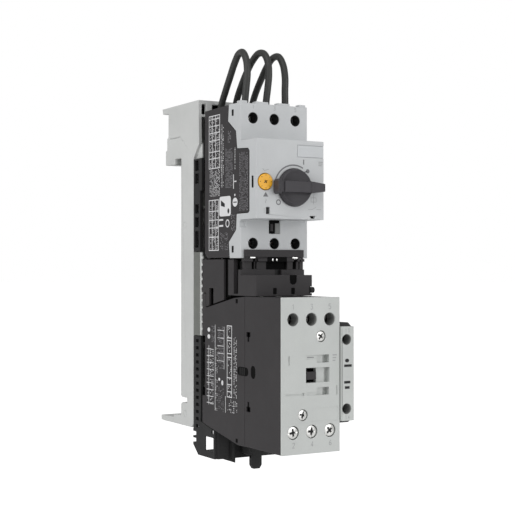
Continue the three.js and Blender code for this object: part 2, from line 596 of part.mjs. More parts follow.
function auxHousing() {
  const { left, right, top, bottom } = AUX;
  const profile = [
    [12.3, top], [-23.5, top], [-26.6, top - 2], [-26.6, bottom + 2], [-23.5, bottom], [12.3, bottom],
  ];
  const hollow = [
    box(left + 1.2, right - 1.2, -23.4, 10, bottom + 2, top - 2),
    AUX_SCREWS.map((z) => roundY(AUX_SCREW_X, z, 2.95, -28, -17, 24)),
  ].flat();
  const sidePort = box(left - 1, left + 2, -3.5, 7.2, -111, -105);
  return cut(sideProfile(profile, left, right), hollow, sidePort);
}

function auxFaceplate() {
  const plate = box(AUX.left, AUX.right, -29, -26.9, -134.4, -82.4);
  return cut(plate, AUX_SCREWS.map((z) => roundY(AUX_SCREW_X, z, 2.95, -30, -24, 32)));
}

const auxPlunger = () => cut(box(17.2, 21.2, -10, 5, -112, -104), box(16, 19, -2.9, 1.9, -110.4, -105.6));

// ---- rail latches ----
function railLatch(z, front, back, tail) {
  return join(
    box(-6, 6, front, back, z - RAIL.half - 27 + tail, z - RAIL.half - 0.8),
    box(-6, 6, back - 0.6, 66, z - RAIL.half - 3, z - RAIL.half - 0.8),
    box(-6, 6, 63.6, 66, z - RAIL.half - 3, z - RAIL.half + 3)
  );
}

// ---- assembly ----
add("adapter_carrier", adapterCarrier(), LOOK.carrier);
["upper", "middle", "lower"].forEach((name, i) => {
  add(`busbar_clamp_${name}`, busbarClamp(BUS_TOPS[i]), LOOK.tin);
});
add("lock_slide", lockSlide(), LOOK.black);
add("lock_spring", tube(new Helix([6.4, 87.4, -144.2], 1.9, 2.05, 5), 0.9, 55, 6), LOOK.spring);
add("upper_bracket", upperBracket(), LOOK.black);
add("lower_rack", lowerRack(), LOOK.black);
add("side_channel_left", sideChannel(-1), LOOK.zinc);
add("side_channel_right", sideChannel(1), LOOK.zinc);
add("din_rail_upper", topHatRail(RAIL_UPPER_Z), LOOK.zinc);
add("din_rail_lower", topHatRail(RAIL_LOWER_Z), LOOK.zinc);
for (const [name, route] of Object.entries(LEAD_ROUTES)) {
  add(name, tube(route, LEAD_D, route.length * 2), LOOK.lead);
}

add("breaker_base", breakerBase(), LOOK.dark);
add("breaker_cover", breakerCover(), LOOK.cover);
add("rotary_handle", rotaryHandle(), LOOK.handle);
add("handle_shaft", handleShaft(), LOOK.iron);
add("current_dial", currentDial(), LOOK.yellow);
add("test_plunger", box(-15.6, -13.8, 0.7, 5, -19.5, -16.3), LOOK.black);
add("marker_plate", box(5.1, 22.2, 0.1, 0.8, 13.3, 19.5), LOOK.label);
["left", "middle", "right"].forEach((name, i) => {
  add(`line_screw_${name}`, screw(POLES[i], POLE_Z, 25.4, 3.1, 10), LOOK.screw);
  add(`outlet_screw_${name}`, screw(POLES[i], -POLE_Z, 25.4, 3.1, 10), LOOK.screw);
  add(`link_pin_${name}`, linkPin(POLES[i], WAYS[i]), LOOK.tin);
  add(`supply_screw_${name}`, screw(WAYS[i] - 0.2, SUPPLY_Z, -19.4, 3.2, 14), LOOK.screw);
  add(`motor_screw_${name}`, screw(WAYS[i], MOTOR_Z, -26.7, 3.45, 14), LOOK.screw);
});
add("contact_bridge", join(box(-18, 18, 42, 45, 8, 14), box(-3, 3, 34, 42.4, 9, 13)), LOOK.black);
add("trip_unit", tripUnit(), LOOK.coil);
add("breaker_rail_latch", railLatch(RAIL_UPPER_Z, 56.3, 62.4, -1.5), LOOK.black);

add("link_housing", linkHousing(), LOOK.dark);
add("link_terminal_block", linkTerminalBlock(), LOOK.black);
add("link_bracket", linkBracket(), LOOK.dark);
add("link_stud", roundX(0.7, -62.6, 1.7, LINK_RIGHT - 1.4, LINK_RIGHT + 1.3), LOOK.black);

add("contactor_base", contactorBase(), LOOK.dark);
add("contactor_housing", contactorHousing(), LOOK.dark);
add("contactor_faceplate", contactorFaceplate(), LOOK.face);
add("contact_carrier", contactCarrier(), LOOK.dark);
add("armature", ironE(14, 20, 26), LOOK.iron);
add("fixed_core", ironE(50, 56, 26 + CORE_TRAVEL + 0.5), LOOK.iron);
add("coil", coilBobbin(), LOOK.coil);
add("return_spring", tube(new ShortSpring(), 0.8, 36, 6), LOOK.spring);
COIL_SCREWS.forEach(([x, z], i) => add(`coil_screw_a${i + 1}`, screw(x, z, -26.8, 2.95, 12), LOOK.screw));
add("contactor_rail_latch", railLatch(RAIL_LOWER_Z, 59.3, 64, 5.6), LOOK.black);
add("aux_housing", auxHousing(), LOOK.dark);
add("aux_faceplate", auxFaceplate(), LOOK.face);
add("aux_plunger", auxPlunger(), LOOK.black);
["upper", "lower"].forEach((name, i) => {
  add(`aux_screw_${name}`, screw(AUX_SCREW_X, AUX_SCREWS[i], -21.4, 2.5, 10), LOOK.screw);
});

starter.position.set(0, -CONTACT_Y, -(BUS_TOPS[1] - BUS_HEIGHT / 2));
export default starter;
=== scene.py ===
import json
import math
import random

import bmesh
import bpy
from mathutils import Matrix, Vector


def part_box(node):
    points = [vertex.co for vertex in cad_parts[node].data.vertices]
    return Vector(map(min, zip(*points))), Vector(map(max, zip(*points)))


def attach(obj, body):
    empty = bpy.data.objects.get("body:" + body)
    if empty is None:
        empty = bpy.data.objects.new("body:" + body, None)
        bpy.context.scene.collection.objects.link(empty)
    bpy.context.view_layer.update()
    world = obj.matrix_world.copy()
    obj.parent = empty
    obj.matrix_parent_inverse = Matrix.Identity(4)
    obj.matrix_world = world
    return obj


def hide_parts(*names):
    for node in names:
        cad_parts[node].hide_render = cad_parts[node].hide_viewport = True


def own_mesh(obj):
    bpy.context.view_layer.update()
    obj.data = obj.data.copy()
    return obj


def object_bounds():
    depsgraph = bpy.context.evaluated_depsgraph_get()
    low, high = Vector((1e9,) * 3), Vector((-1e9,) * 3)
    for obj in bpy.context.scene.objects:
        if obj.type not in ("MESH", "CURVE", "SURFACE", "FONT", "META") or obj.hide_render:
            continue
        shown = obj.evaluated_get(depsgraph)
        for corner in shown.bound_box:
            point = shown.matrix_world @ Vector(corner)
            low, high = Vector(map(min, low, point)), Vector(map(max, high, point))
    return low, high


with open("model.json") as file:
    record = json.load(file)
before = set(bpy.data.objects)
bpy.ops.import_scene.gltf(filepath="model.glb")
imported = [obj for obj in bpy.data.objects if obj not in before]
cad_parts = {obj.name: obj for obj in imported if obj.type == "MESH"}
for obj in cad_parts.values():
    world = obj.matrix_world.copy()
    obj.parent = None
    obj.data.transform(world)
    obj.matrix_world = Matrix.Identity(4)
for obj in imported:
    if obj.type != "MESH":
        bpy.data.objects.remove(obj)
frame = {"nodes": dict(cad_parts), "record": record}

cad_low, cad_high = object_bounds()
scene = bpy.context.scene
record = frame["record"]

MM = 0.001
ORIGIN = Vector((0, 94.3, -54))  # the row's origin in drawing coordinates
INK = 0.04  # printed marks stand this proud of the plastic
SUNK = 0.03  # and reach this deep into it

PANEL_Y = 0.0  # breaker's front panel
TERMINAL_Y = 17.9  # faces of the breaker's terminal blocks
FACE_Y = -27.3  # contactor's front
AUX_FACE_Y = -29.0
LEFT_X = -22.5  # left sides of breaker and contactor
HANDLE = (2.3, -4.5)
DIAL = (-16.4, -1.8)
DIAL_RADIUS = 4.5
POLES = (-14.0, 0.2, 14.4)  # breaker's terminal screws, across
TERMINAL_Z = 36  # and above or below the panel's centre
WAYS = (-14.8, -3.0, 8.8)  # contactor's terminal screws, across
SUPPLY_Z = -78.1
MOTOR_Z = -139.1
COIL_SCREWS = ((3, -87.5), (-8.7, -129.9))
AUX_SCREW_X = 18.75
AUX_SCREW_Z = (("upper", -89.6), ("lower", -127.8))
FACE_RIGHT = 15.15  # edges of the contactor's face
FACE_BOTTOM = -151
FACE_TOP = -66
LEAD_DIAMETER = 4.1


def at(x, y, z):
    return (Vector((x, y, z)) - ORIGIN) * MM


def drawn_box(node):
    """A CAD node's corners at rest, in drawing coordinates."""
    low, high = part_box(node)
    return Vector(low) / MM + ORIGIN, Vector(high) / MM + ORIGIN


# ---------------------------------------------------------------- camera, light and floor

def make_camera():
    data = bpy.data.cameras.new("camera")
    data.lens = 82.78
    data.sensor_width = 36
    data.clip_start = 0.01
    data.clip_end = 100
    camera = bpy.data.objects.new("camera", data)
    camera.location = at(-350.5, -571.0, -51.07)
    camera.rotation_euler = (math.radians(90.59), 0, math.radians(-29.95))
    scene.collection.objects.link(camera)
    scene.camera = camera


def aim(place, target):
    return (Vector(target) - Vector(place)).to_track_quat("-Z", "Y").to_euler()


def area_light(name, place, size, power):
    data = bpy.data.lights.new(name, "AREA")
    data.shape = "DISK"
    data.size = size
    data.energy = power
    light = bpy.data.objects.new(name, data)
    light.location = place
    light.rotation_euler = aim(place, (0, 0, 0))
    scene.collection.objects.link(light)


def make_sun():
    data = bpy.data.lights.new("soft_sun", "SUN")
    data.energy = 0.8
    data.angle = math.radians(50)
    sun = bpy.data.objects.new("soft_sun", data)
    sun.rotation_euler = aim((0, 0, 0), (0.62, 0.55, -0.9))
    scene.collection.objects.link(sun)


def make_world():
    """A white studio: pure white to the camera, softer as a light."""
    world = bpy.data.worlds.new("studio")
    world.use_nodes = True
    tree = world.node_tree
    tree.nodes.clear()
    mix = tree.nodes.new("ShaderNodeMixShader")
    for slot, strength in ((1, 0.4), (2, 1.0)):
        light = tree.nodes.new("ShaderNodeBackground")
        light.inputs["Color"].default_value = (1, 1, 1, 1)
        light.inputs["Strength"].default_value = strength
        tree.links.new(light.outputs[0], mix.inputs[slot])
    path = tree.nodes.new("ShaderNodeLightPath")
    tree.links.new(path.outputs["Is Camera Ray"], mix.inputs[0])
    output = tree.nodes.new("ShaderNodeOutputWorld")
    tree.links.new(mix.outputs[0], output.inputs["Surface"])
    scene.world = world
    scene.view_settings.view_transform = "Standard"
    scene.view_settings.look = "None"


make_camera()
make_sun()
area_light("fill_front", (0.5, -1.4, 0.25), 0.9, 4.6)
area_light("fill_left", (-1.5, -0.2, 0.3), 0.9, 5.4)
make_world()


# ---------------------------------------------------------------- materials

class Nodes:
    """Short hand for building a material's node tree."""

    def __init__(self, name):
        self.material = bpy.data.materials.new(name)
        self.material.use_nodes = True
        self.tree = self.material.node_tree
        self.surface = self.tree.nodes["Principled BSDF"]
        self.place = self.new("ShaderNodeTexCoord").outputs["Object"]

    def new(self, kind, **settings):
        node = self.tree.nodes.new(kind)
        for key, value in settings.items():
            setattr(node, key, value)
        return node

    def feed(self, socket, value):
        if isinstance(value, bpy.types.NodeSocket):
            self.tree.links.new(value, socket)
        else:
            socket.default_value = value

    def noise(self, scale, detail=3, rough=0.55, place=None):
        node = self.new("ShaderNodeTexNoise")
        self.feed(node.inputs["Vector"], place or self.place)
        node.inputs["Scale"].default_value = scale
        node.inputs["Detail"].default_value = detail
        node.inputs["Roughness"].default_value = rough
        return node.outputs["Fac"]

    def math(self, operation, a, b=0.0):
        node = self.new("ShaderNodeMath", operation=operation)
        self.feed(node.inputs[0], a)
        self.feed(node.inputs[1], b)
        return node.outputs[0]

    def span(self, value, low, high, out_low, out_high):
        node = self.new("ShaderNodeMapRange")
        sockets = ("Value", "From Min", "From Max", "To Min", "To Max")
        for key, setting in zip(sockets, (value, low, high, out_low, out_high)):
            self.feed(node.inputs[key], setting)
        return node.outputs["Result"]

    def blend(self, factor, a, b):
        node = self.new("ShaderNodeMix", data_type="RGBA")
        self.feed(node.inputs[0], factor)
        self.feed(node.inputs[6], a)
        self.feed(node.inputs[7], b)
        return node.outputs[2]

    def stretched(self, scale):
        node = self.new("ShaderNodeMapping")
        self.feed(node.inputs["Vector"], self.place)
        node.inputs["Scale"].default_value = scale
        return node.outputs[0]

    def edge(self, radius, gain):
        """1 on outside edges and corners, 0 on flats."""
        bevel = self.new("ShaderNodeBevel", samples=4)
        bevel.inputs["Radius"].default_value = radius
        facing = self.new("ShaderNodeVectorMath", operation="DOT_PRODUCT")
        self.feed(facing.inputs[0], bevel.outputs[0])
        self.feed(facing.inputs[1], self.new("ShaderNodeNewGeometry").outputs["Normal"])
        clamp = self.new("ShaderNodeClamp")
        turned = self.math("SUBTRACT", 1.0, facing.outputs["Value"])
        self.feed(clamp.inputs[0], self.math("MULTIPLY", turned, gain))
        return clamp.outputs[0]

    def upward(self, low, high, most):
        """Grows from 0 to most as the surface turns to face up."""
        parts = self.new("ShaderNodeSeparateXYZ")
        self.feed(parts.inputs[0], self.new("ShaderNodeNewGeometry").outputs["Normal"])
        return self.span(parts.outputs["Z"], low, high, 0, most)

    def bump(self, height, strength, distance):
        node = self.new("ShaderNodeBump")
        node.inputs["Strength"].default_value = strength
        node.inputs["Distance"].default_value = distance
        self.feed(node.inputs["Height"], height)
        self.feed(self.surface.inputs["Normal"], node.outputs[0])


def shade(color, factor):
    return (*(min(1.0, c * factor) for c in color), 1.0)


DUST = (0.45, 0.44, 0.42, 1)


def plastic(name, color, rough=0.5, grain=2600, wear=0.5, bump=0.35, specular=0.5, dust=0.0):
    """Moulded plastic: spark-eroded grain, slight clouding, polished edges and a little dust."""
    n = Nodes(name)
    tint = n.blend(n.span(n.noise(38, 4), 0.35, 0.65, 0, 1), shade(color, 0.96), shade(color, 1.035))
    tint = n.blend(n.span(n.noise(grain * 0.6, 2), 0.3, 0.7, 0, 0.22), tint, shade(color, 0.86))
    edge = n.edge(0.35 * MM, 5.0)
    worn = n.math("MULTIPLY", edge, n.span(n.noise(220, 4), 0.35, 0.7, 0.15, wear))
    paler = [c * 0.72 + 0.28 * max(color) + 0.02 for c in color]
    tint = n.blend(worn, tint, shade(paler, 1.3))
    if dust:
        film = n.math("MULTIPLY", n.upward(0.3, 1.0, dust), n.span(n.noise(90, 5), 0.3, 0.7, 0.3, 1))
        tint = n.blend(film, tint, DUST)
    n.feed(n.surface.inputs["Base Color"], tint)
    smudge = n.span(n.noise(55, 5, 0.6), 0.3, 0.7, rough - 0.05, rough + 0.06)
    n.feed(n.surface.inputs["Roughness"], n.math("ADD", smudge, n.math("MULTIPLY", edge, -0.08)))
    n.surface.inputs["Specular IOR Level"].default_value = specular
    ripple = n.math("MULTIPLY", n.noise(160, 2), 0.6)
    n.bump(n.math("ADD", n.noise(grain, 3, 0.6), ripple), bump, 0.03 * MM)
    return n.material


def metal(name, color, rough=0.3, streak=(900, 60, 900), tarnish=0.25, bump=0.2):
    """Plated or bare metal with drawn streaks, stains and a little tarnish."""
    n = Nodes(name)
    lines = n.noise(1.0, 4, 0.6, n.stretched(streak))
    stain = n.noise(140, 5, 0.6)
    tint = n.blend(n.span(stain, 0.35, 0.7, 0, tarnish), shade(color, 1.0), shade(color, 0.55))
    tint = n.blend(n.span(lines, 0.35, 0.65, 0, 0.25), tint, shade(color, 1.18))
    n.feed(n.surface.inputs["Base Color"], tint)
    n.surface.inputs["Metallic"].default_value = 1.0
    brushed = n.span(lines, 0.3, 0.7, rough - 0.06, rough + 0.08)
    n.feed(n.surface.inputs["Roughness"], n.math("ADD", brushed, n.span(stain, 0.4, 0.7, 0, 0.12)))
    n.bump(lines, bump, 0.02 * MM)
    return n.material


def ink(name, color):
    """Pad-printed ink: matt, slightly patchy."""
    return plastic(name, color, rough=0.62, wear=0.1, bump=0.1, specular=0.3)


LOOK = {
    "carrier_plastic": plastic("carrier_plastic", (0.62, 0.63, 0.62), 0.55, dust=0.1),
    "cover_plastic": plastic("cover_plastic", (0.585, 0.6, 0.61), 0.48),
    "face_plastic": plastic("face_plastic", (0.575, 0.595, 0.58), 0.46),
    "dark_plastic": plastic("dark_plastic", (0.042, 0.039, 0.041), 0.52, wear=0.35, specular=0.25),
    "handle_plastic": plastic("handle_plastic", (0.054, 0.051, 0.057), 0.45, wear=0.6, specular=0.3),
    "black_plastic": plastic("black_plastic", (0.024, 0.024, 0.0245), 0.5, wear=0.35, specular=0.22),
    # Near-black for painted shade: pieces in slots, ports, gaps and recesses where there is only shade. The
    # coupling plug's body uses it too.
    "painted_shade_black": plastic("painted_shade_black", (0.004, 0.004, 0.004), 0.7, wear=0.1, bump=0.1, specular=0.08),
    "yellow_plastic": plastic("yellow_plastic", (0.94, 0.47, 0.022), 0.36, wear=0.2, bump=0.15),
    "marker_plastic": plastic("marker_plastic", (0.585, 0.605, 0.62), 0.38, wear=0.2, bump=0.1),
    "lead_insulation": plastic(
        "lead_insulation", (0.045, 0.046, 0.044), 0.4, 1500, wear=0.2, bump=0.25, specular=0.35
    ),
    "zinc_plate": metal("zinc_plate", (0.31, 0.32, 0.3), 0.46, (60, 60, 1400)),
    "screw_steel": metal("screw_steel", (0.82, 0.82, 0.8), 0.24, (300, 300, 300)),
    "well_grey": plastic("well_grey", (0.22, 0.225, 0.22), 0.5),
    "tinned_copper": metal("tinned_copper", (0.5, 0.5, 0.47), 0.34),
    "core_iron": metal("core_iron", (0.19, 0.19, 0.2), 0.45, (60, 2400, 60)),
    "spring_steel": metal("spring_steel", (0.36, 0.37, 0.38), 0.3),
    "coil_winding": plastic("coil_winding", (0.3, 0.06, 0.02), 0.35),
    "white_ink": ink("white_ink", (0.78, 0.78, 0.79)),
    "pale_ink": ink("pale_ink", (0.3, 0.295, 0.31)),
    "grey_ink": ink("grey_ink", (0.2, 0.2, 0.21)),
    "faint_ink": ink("faint_ink", (0.38, 0.385, 0.39)),
    "dark_ink": ink("dark_ink", (0.02, 0.02, 0.022)),
}
NODE_SLOT = {s["node"]: s["material_slot"] for s in record["subparts"]}
NODE_BODY = {n: body for body, nodes in record["behaviour"]["bodies"].items() for n in nodes}

for node, obj in frame["nodes"].items():
    obj.data.materials.clear()
    obj.data.materials.append(LOOK[NODE_SLOT[node]])


# ---------------------------------------------------------------- making pieces

def finish_piece(obj, look, body, bevel=0.0, segments=2):
    """Gives a new piece its material, soft edges and body."""
    obj.data.materials.clear()
    obj.data.materials.append(LOOK[look])
    for polygon in obj.data.polygons:
        polygon.use_smooth = True
    if bevel:
        edges = obj.modifiers.new("edges", "BEVEL")
        edges.width = bevel * MM
        edges.segments = segments
        edges.limit_method = "ANGLE"
        edges.angle_limit = math.radians(32)
        edges.use_clamp_overlap = False
        edges.miter_outer = "MITER_ARC"
    else:
        obj.data.set_sharp_from_angle(angle=math.radians(35))
    flat = obj.modifiers.new("normals", "WEIGHTED_NORMAL")
    flat.weight = 60
    flat.keep_sharp = not bevel
    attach(obj, body)
    return obj


def to_object(name, bm):
    mesh = bpy.data.meshes.new(name)
    bmesh.ops.recalc_face_normals(bm, faces=bm.faces)
    bm.to_mesh(mesh)
    bm.free()
    obj = bpy.data.objects.new(name, mesh)
    scene.collection.objects.link(obj)
    return obj


def from_bmesh(name, bm, look, body, bevel=0.0):
    return finish_piece(to_object(name, bm), look, body, bevel)


def carve(obj, others, operation):
    """Joins other solids to obj, or cuts them from it, and removes them."""
    for other in others:
        step = obj.modifiers.new("carve", "BOOLEAN")
        step.operation = operation
        step.solver = "EXACT"
        step.object = other
    bpy.context.view_layer.update()
    carved = bpy.data.meshes.new_from_object(obj.evaluated_get(bpy.context.evaluated_depsgraph_get()))
    obj.modifiers.clear()
    obj.data = carved
    for other in others:
        bpy.data.objects.remove(other)
    return obj


def lathe(bm, profile, x, z, sides=64):
    """A solid turned about an axis along y. The profile runs (radius, y) and starts and ends on the axis."""
    rings = []
    for radius, y in profile:
        if radius == 0:
            rings.append([bm.verts.new(at(x, y, z))])
            continue
        turns = (2 * math.pi * i / sides for i in range(sides))
        rings.append([bm.verts.new(at(x + radius * math.cos(t), y, z + radius * math.sin(t))) for t in turns])
    for a, b in zip(rings, rings[1:]):
        for i in range(sides):
            j = (i + 1) % sides
            corners = [a[i % len(a)], a[j % len(a)], b[j % len(b)], b[i % len(b)]]
            bm.faces.new(list(dict.fromkeys(corners)))


def fillet(centre, radius, start, end, steps=5):
    """Points of an arc in (radius, y), angles in degrees from the outward direction."""
    turns = (math.radians(start + (end - start) * i / steps) for i in range(steps + 1))
    return [(centre[0] + radius * math.cos(t), centre[1] + radius * math.sin(t)) for t in turns]


def slab(bm, points, faces, place, low, high):
    """Closes flat faces into a slab between two heights over their plane. place(u, v, height) is a corner."""
    base = [bm.verts.new(place(u, v, low)) for u, v in points]
    top = [bm.verts.new(place(u, v, high)) for u, v in points]
    edges = {(face[i - 1], face[i]) for face in faces for i in range(len(face))}
    for face in faces:
        bm.faces.new([top[i] for i in face])
        bm.faces.new([base[i] for i in reversed(face)])
    for a, b in edges:
        if (b, a) not in edges:
            bm.faces.new((base[a], base[b], top[b], top[a]))


def brick(name, x, y, z, look, body="starter", bevel=0.0):
    """A box between pairs of x, y and z."""
    bm = bmesh.new()
    corners = [(x[0], z[0]), (x[1], z[0]), (x[1], z[1]), (x[0], z[1])]
    slab(bm, corners, [(0, 1, 2, 3)], front_plane(0), -y[1], -y[0])
    return from_bmesh(name, bm, look, body, bevel)


def front_plane(y):
    return lambda u, v, height: at(u, y - height, v)


def left_plane(x):
    return lambda u, v, height: at(x - height, u, v)


class Print:
    """Marks printed on one face, in the face's own (u, v)."""

    def __init__(self, name, plane, look, body="starter"):
        self.name, self.plane, self.look, self.body = name, plane, look, body
        self.bm = bmesh.new()

    def polygon(self, points):
        slab(self.bm, points, [list(range(len(points)))], self.plane, -SUNK, INK)

    def bar(self, u0, u1, v0, v1):
        self.polygon([(u0, v0), (u1, v0), (u1, v1), (u0, v1)])

    def frame(self, u0, u1, v0, v1, width):
        inset = width / 2
        u0, u1, v0, v1 = u0 + inset, u1 - inset, v0 + inset, v1 - inset
        self.line([(u0, v0), (u1, v0), (u1, v1), (u0, v1)], width, closed=True)

    def disc(self, u, v, ru, rv=None, sides=28):
        turns = [2 * math.pi * i / sides for i in range(sides)]
        self.polygon([(u + ru * math.cos(t), v + (rv or ru) * math.sin(t)) for t in turns])

    def arc(self, u, v, radius, start, end, width, steps=40):
        turns = [math.radians(start + (end - start) * i / steps) for i in range(steps + 1)]
        self.line([(u + radius * math.cos(t), v + radius * math.sin(t)) for t in turns], width)

    def ring(self, u, v, radius, width, sides=32):
        turns = [2 * math.pi * i / sides for i in range(sides)]
        self.line([(u + radius * math.cos(t), v + radius * math.sin(t)) for t in turns], width, closed=True)

    def line(self, points, width, closed=False):
        """A line of even width with mitred corners."""
        count = len(points)
        sides = []
        for i, (u, v) in enumerate(points):
            before = points[i - 1] if i or closed else None
            after = points[(i + 1) % count] if i < count - 1 or closed else None
            runs = []
            for a, b in ((before, (u, v)), ((u, v), after)):
                if a and b:
                    runs.append(Vector((b[0] - a[0], b[1] - a[1])).normalized())
            along = sum(runs, Vector((0, 0))).normalized()
            across = Vector((-along.y, along.x))
            reach = width / 2 / max(0.6, across.dot(Vector((-runs[0].y, runs[0].x))))
            du, dv = across.x * reach, across.y * reach
            sides += [(u + du, v + dv), (u - du, v - dv)]
        steps = range(count if closed else count - 1)
        faces = [(2 * i + 1, 2 * ((i + 1) % count) + 1, 2 * ((i + 1) % count), 2 * i) for i in steps]
        slab(self.bm, sides, faces, self.plane, -SUNK, INK)

    def numeral(self, digit, u, v, height, width=0.34):
        scale = height / 2
        self.line([(u + (a - 0.5) * scale, v + (b - 1) * scale) for a, b in NUMERALS[digit]], width)

    def blots(self, u0, u1, v0, v1, size, gap, share, pick):
        """Small blocks in rows, in place of fine print. Rows run along v."""
        u = u0
        while u + size <= u1:
            v = v0
            while v + size * 0.5 <= v1:
                length = size * pick.uniform(0.4, 1.1)
                if pick.random() < share:
                    inset = size * pick.uniform(0, 0.35)
                    self.bar(u + inset, u + size - size * pick.uniform(0, 0.25), v, min(v + length, v1))
                v += length + gap
            u += size + gap * 1.6

    def done(self):
        return from_bmesh(self.name, self.bm, self.look, self.body)


NUMERALS = {  # strokes on a grid one wide and two high
    1: [(0.2, 1.5), (0.6, 2), (0.6, 0)],
    2: [(0, 1.6), (0.25, 2), (0.75, 2), (1, 1.65), (0.9, 1.2), (0, 0), (1, 0)],
    3: [(0, 2), (1, 2), (0.5, 1.2), (0.85, 1.05), (1, 0.7), (0.95, 0.25), (0.65, 0), (0.25, 0), (0, 0.25)],
    4: [(0.75, 0), (0.75, 2), (0, 0.6), (1.05, 0.6)],
    5: [
        (0.95, 2), (0.1, 2), (0.05, 1.15), (0.65, 1.25), (1, 0.9), (0.95, 0.25), (0.65, 0), (0.25, 0),
        (0, 0.25),
    ],
    6: [
        (0.85, 2), (0.3, 1.5), (0, 0.8), (0.1, 0.2), (0.5, 0), (0.9, 0.2), (1, 0.65), (0.75, 1.05),
        (0.1, 0.85),
    ],
}


# ---------------------------------------------------------------- shells of the CAD nodes

def shell(node, bevel, joined=True):
    """A copy of a CAD node with its flat faces joined and its edges rounded."""
    bm = bmesh.new()
    bm.from_mesh(frame["nodes"][node].data)
    bmesh.ops.remove_doubles(bm, verts=bm.verts, dist=2e-6)
    if joined:
        flat = math.radians(0.6)
        bmesh.ops.dissolve_limit(bm, angle_limit=flat, verts=bm.verts, edges=bm.edges, delimit=set())
    piece = from_bmesh(node + "_shell", bm, NODE_SLOT[node], NODE_BODY[node], bevel)
    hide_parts(node)


SHELL_EDGES = {  # rounding of each outside edge, in millimetres
    "adapter_carrier": 0.35, "breaker_base": 0.3, "breaker_cover": 0.3, "contactor_base": 0.35,
    "contactor_housing": 0.3, "link_housing": 0.25, "link_bracket": 0.25,
    "upper_bracket": 0.2, "lower_rack": 0.2, "aux_housing": 0.25, "aux_faceplate": 0.25,
    "side_channel_left": 0.2, "side_channel_right": 0.2, "din_rail_upper": 0.18,
    "din_rail_lower": 0.18, "lock_slide": 0.3, "busbar_clamp_upper": 0.3, "busbar_clamp_middle": 0.3,
    "busbar_clamp_lower": 0.3, "contact_carrier": 0.2, "link_stud": 0.2, "test_plunger": 0.15,
    "link_terminal_block": 0.2, "link_pin_left": 0.15, "link_pin_middle": 0.15, "link_pin_right": 0.15,
    "breaker_rail_latch": 0.25, "contactor_rail_latch": 0.25, "aux_plunger": 0.15, "handle_shaft": 0.15,
    "contact_bridge": 0.2, "trip_unit": 0.2, "armature": 0.2, "fixed_core": 0.2, "coil": 0.2,
}
for node, edge in SHELL_EDGES.items():
    shell(node, edge, joined=node not in ("lower_rack", "link_housing"))


# ---------------------------------------------------------------- contactor's faceplate

def boxes(name, corners):
    """Boxes that don't touch each other, as one solid. Each is x0, x1, y0, y1, z0, z1."""
    bm = bmesh.new()
    for x0, x1, y0, y1, z0, z1 in corners:
        slab(bm, [(x0, z0), (x1, z0), (x1, z1), (x0, z1)], [(0, 1, 2, 3)], front_plane(0), -y1, -y0)
    return to_object(name, bm)


def faceplate():
    """The pale front of the contactor: screw holes with broken edges, and stepped windows."""
    bm = bmesh.new()
    outline = [
        (LEFT_X, FACE_BOTTOM), (FACE_RIGHT, FACE_BOTTOM), (FACE_RIGHT, FACE_TOP), (LEFT_X, FACE_TOP)
    ]
    slab(bm, outline, [(0, 1, 2, 3)], front_plane(FACE_Y), -0.9, 0)
    bmesh.ops.bevel(bm, geom=bm.edges, offset=0.25 * MM, segments=3, affect="EDGES", profile=0.5)
    plate = to_object("contactor_faceplate_front", bm)
    back = boxes("back", [(-7.3, 9, FACE_Y + 0.7, FACE_Y + 4.4, -121, -96.6)])
    bm = bmesh.new()
    holes = [(x - 0.2, SUPPLY_Z, 3.55) for x in WAYS] + [(x, MOTOR_Z, 3.7) for x in WAYS]
    for x, z, radius in holes + [(x, z, 3.15) for x, z in COIL_SCREWS]:
        rim = radius + 0.25
        mouth = [(0, FACE_Y - 1), (rim, FACE_Y - 1), (rim, FACE_Y), (radius, FACE_Y + 0.25)]
        lathe(bm, mouth + [(radius, FACE_Y + 6), (0, FACE_Y + 6)], x, z, 48)
    bores = to_object("bores", bm)
    front, through = FACE_Y - 1, FACE_Y + 6
    steps = [  # cut one after another, each deeper inside the last
        [
            (-6.4, 8.1, front, FACE_Y + 0.5, -99.9, -97.5),
            (-6.9, 0.6, front, through, -112.6, -104.4),
            (-6.4, 8.1, front, FACE_Y + 0.5, -119.5, -117.4),
            (-19.9, -9.7, front, FACE_Y + 0.4, -119.1, -118.1),
            (-18, -17.3, front, FACE_Y + 0.6, -102.7, -97.7),
            (12.9, 13.5, front, FACE_Y + 0.6, -119.8, -114.7),
            (-3.3, 14.1, front, FACE_Y + 0.3, -134, -126.1),
        ],
        [
            (0.2, 8.1, front, FACE_Y + 1.6, -101.9, -97.5),
            (0, 8.4, front, FACE_Y + 1.8, -112.6, -104.4),
            (0.2, 8.1, front, FACE_Y + 1.6, -119.5, -115.2),
            (-9.7, -8, front, FACE_Y + 0.7, -119.5, -117.8),
        ],
        [
            (4.7, 8.1, front, FACE_Y + 3.6, -101.9, -97.5),
            (5.7, 8.4, front, FACE_Y + 3.6, -112.6, -104.4),
            (4.7, 8.1, front, FACE_Y + 3.6, -119.5, -115.2),
        ],
    ]
    carve(plate, [back], "UNION")
    carve(plate, [bores] + [boxes(f"step_{i}", step) for i, step in enumerate(steps)], "DIFFERENCE")
    finish_piece(plate, "face_plastic", "starter")
    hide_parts("contactor_faceplate")


faceplate()


# ---------------------------------------------------------------- handle and dial

def block(name, x0, x1, y0, y1, half0, half1):
    """A bar along x whose half height goes from half0 to half1, between two depths."""
    bm = bmesh.new()
    z = HANDLE[1]
    corners = [(x0, z - half0), (x1, z - half1), (x1, z + half1), (x0, z + half0)]
    slab(bm, corners, [(0, 1, 2, 3)], front_plane(0), -y1, -y0)
    return to_object(name, bm)


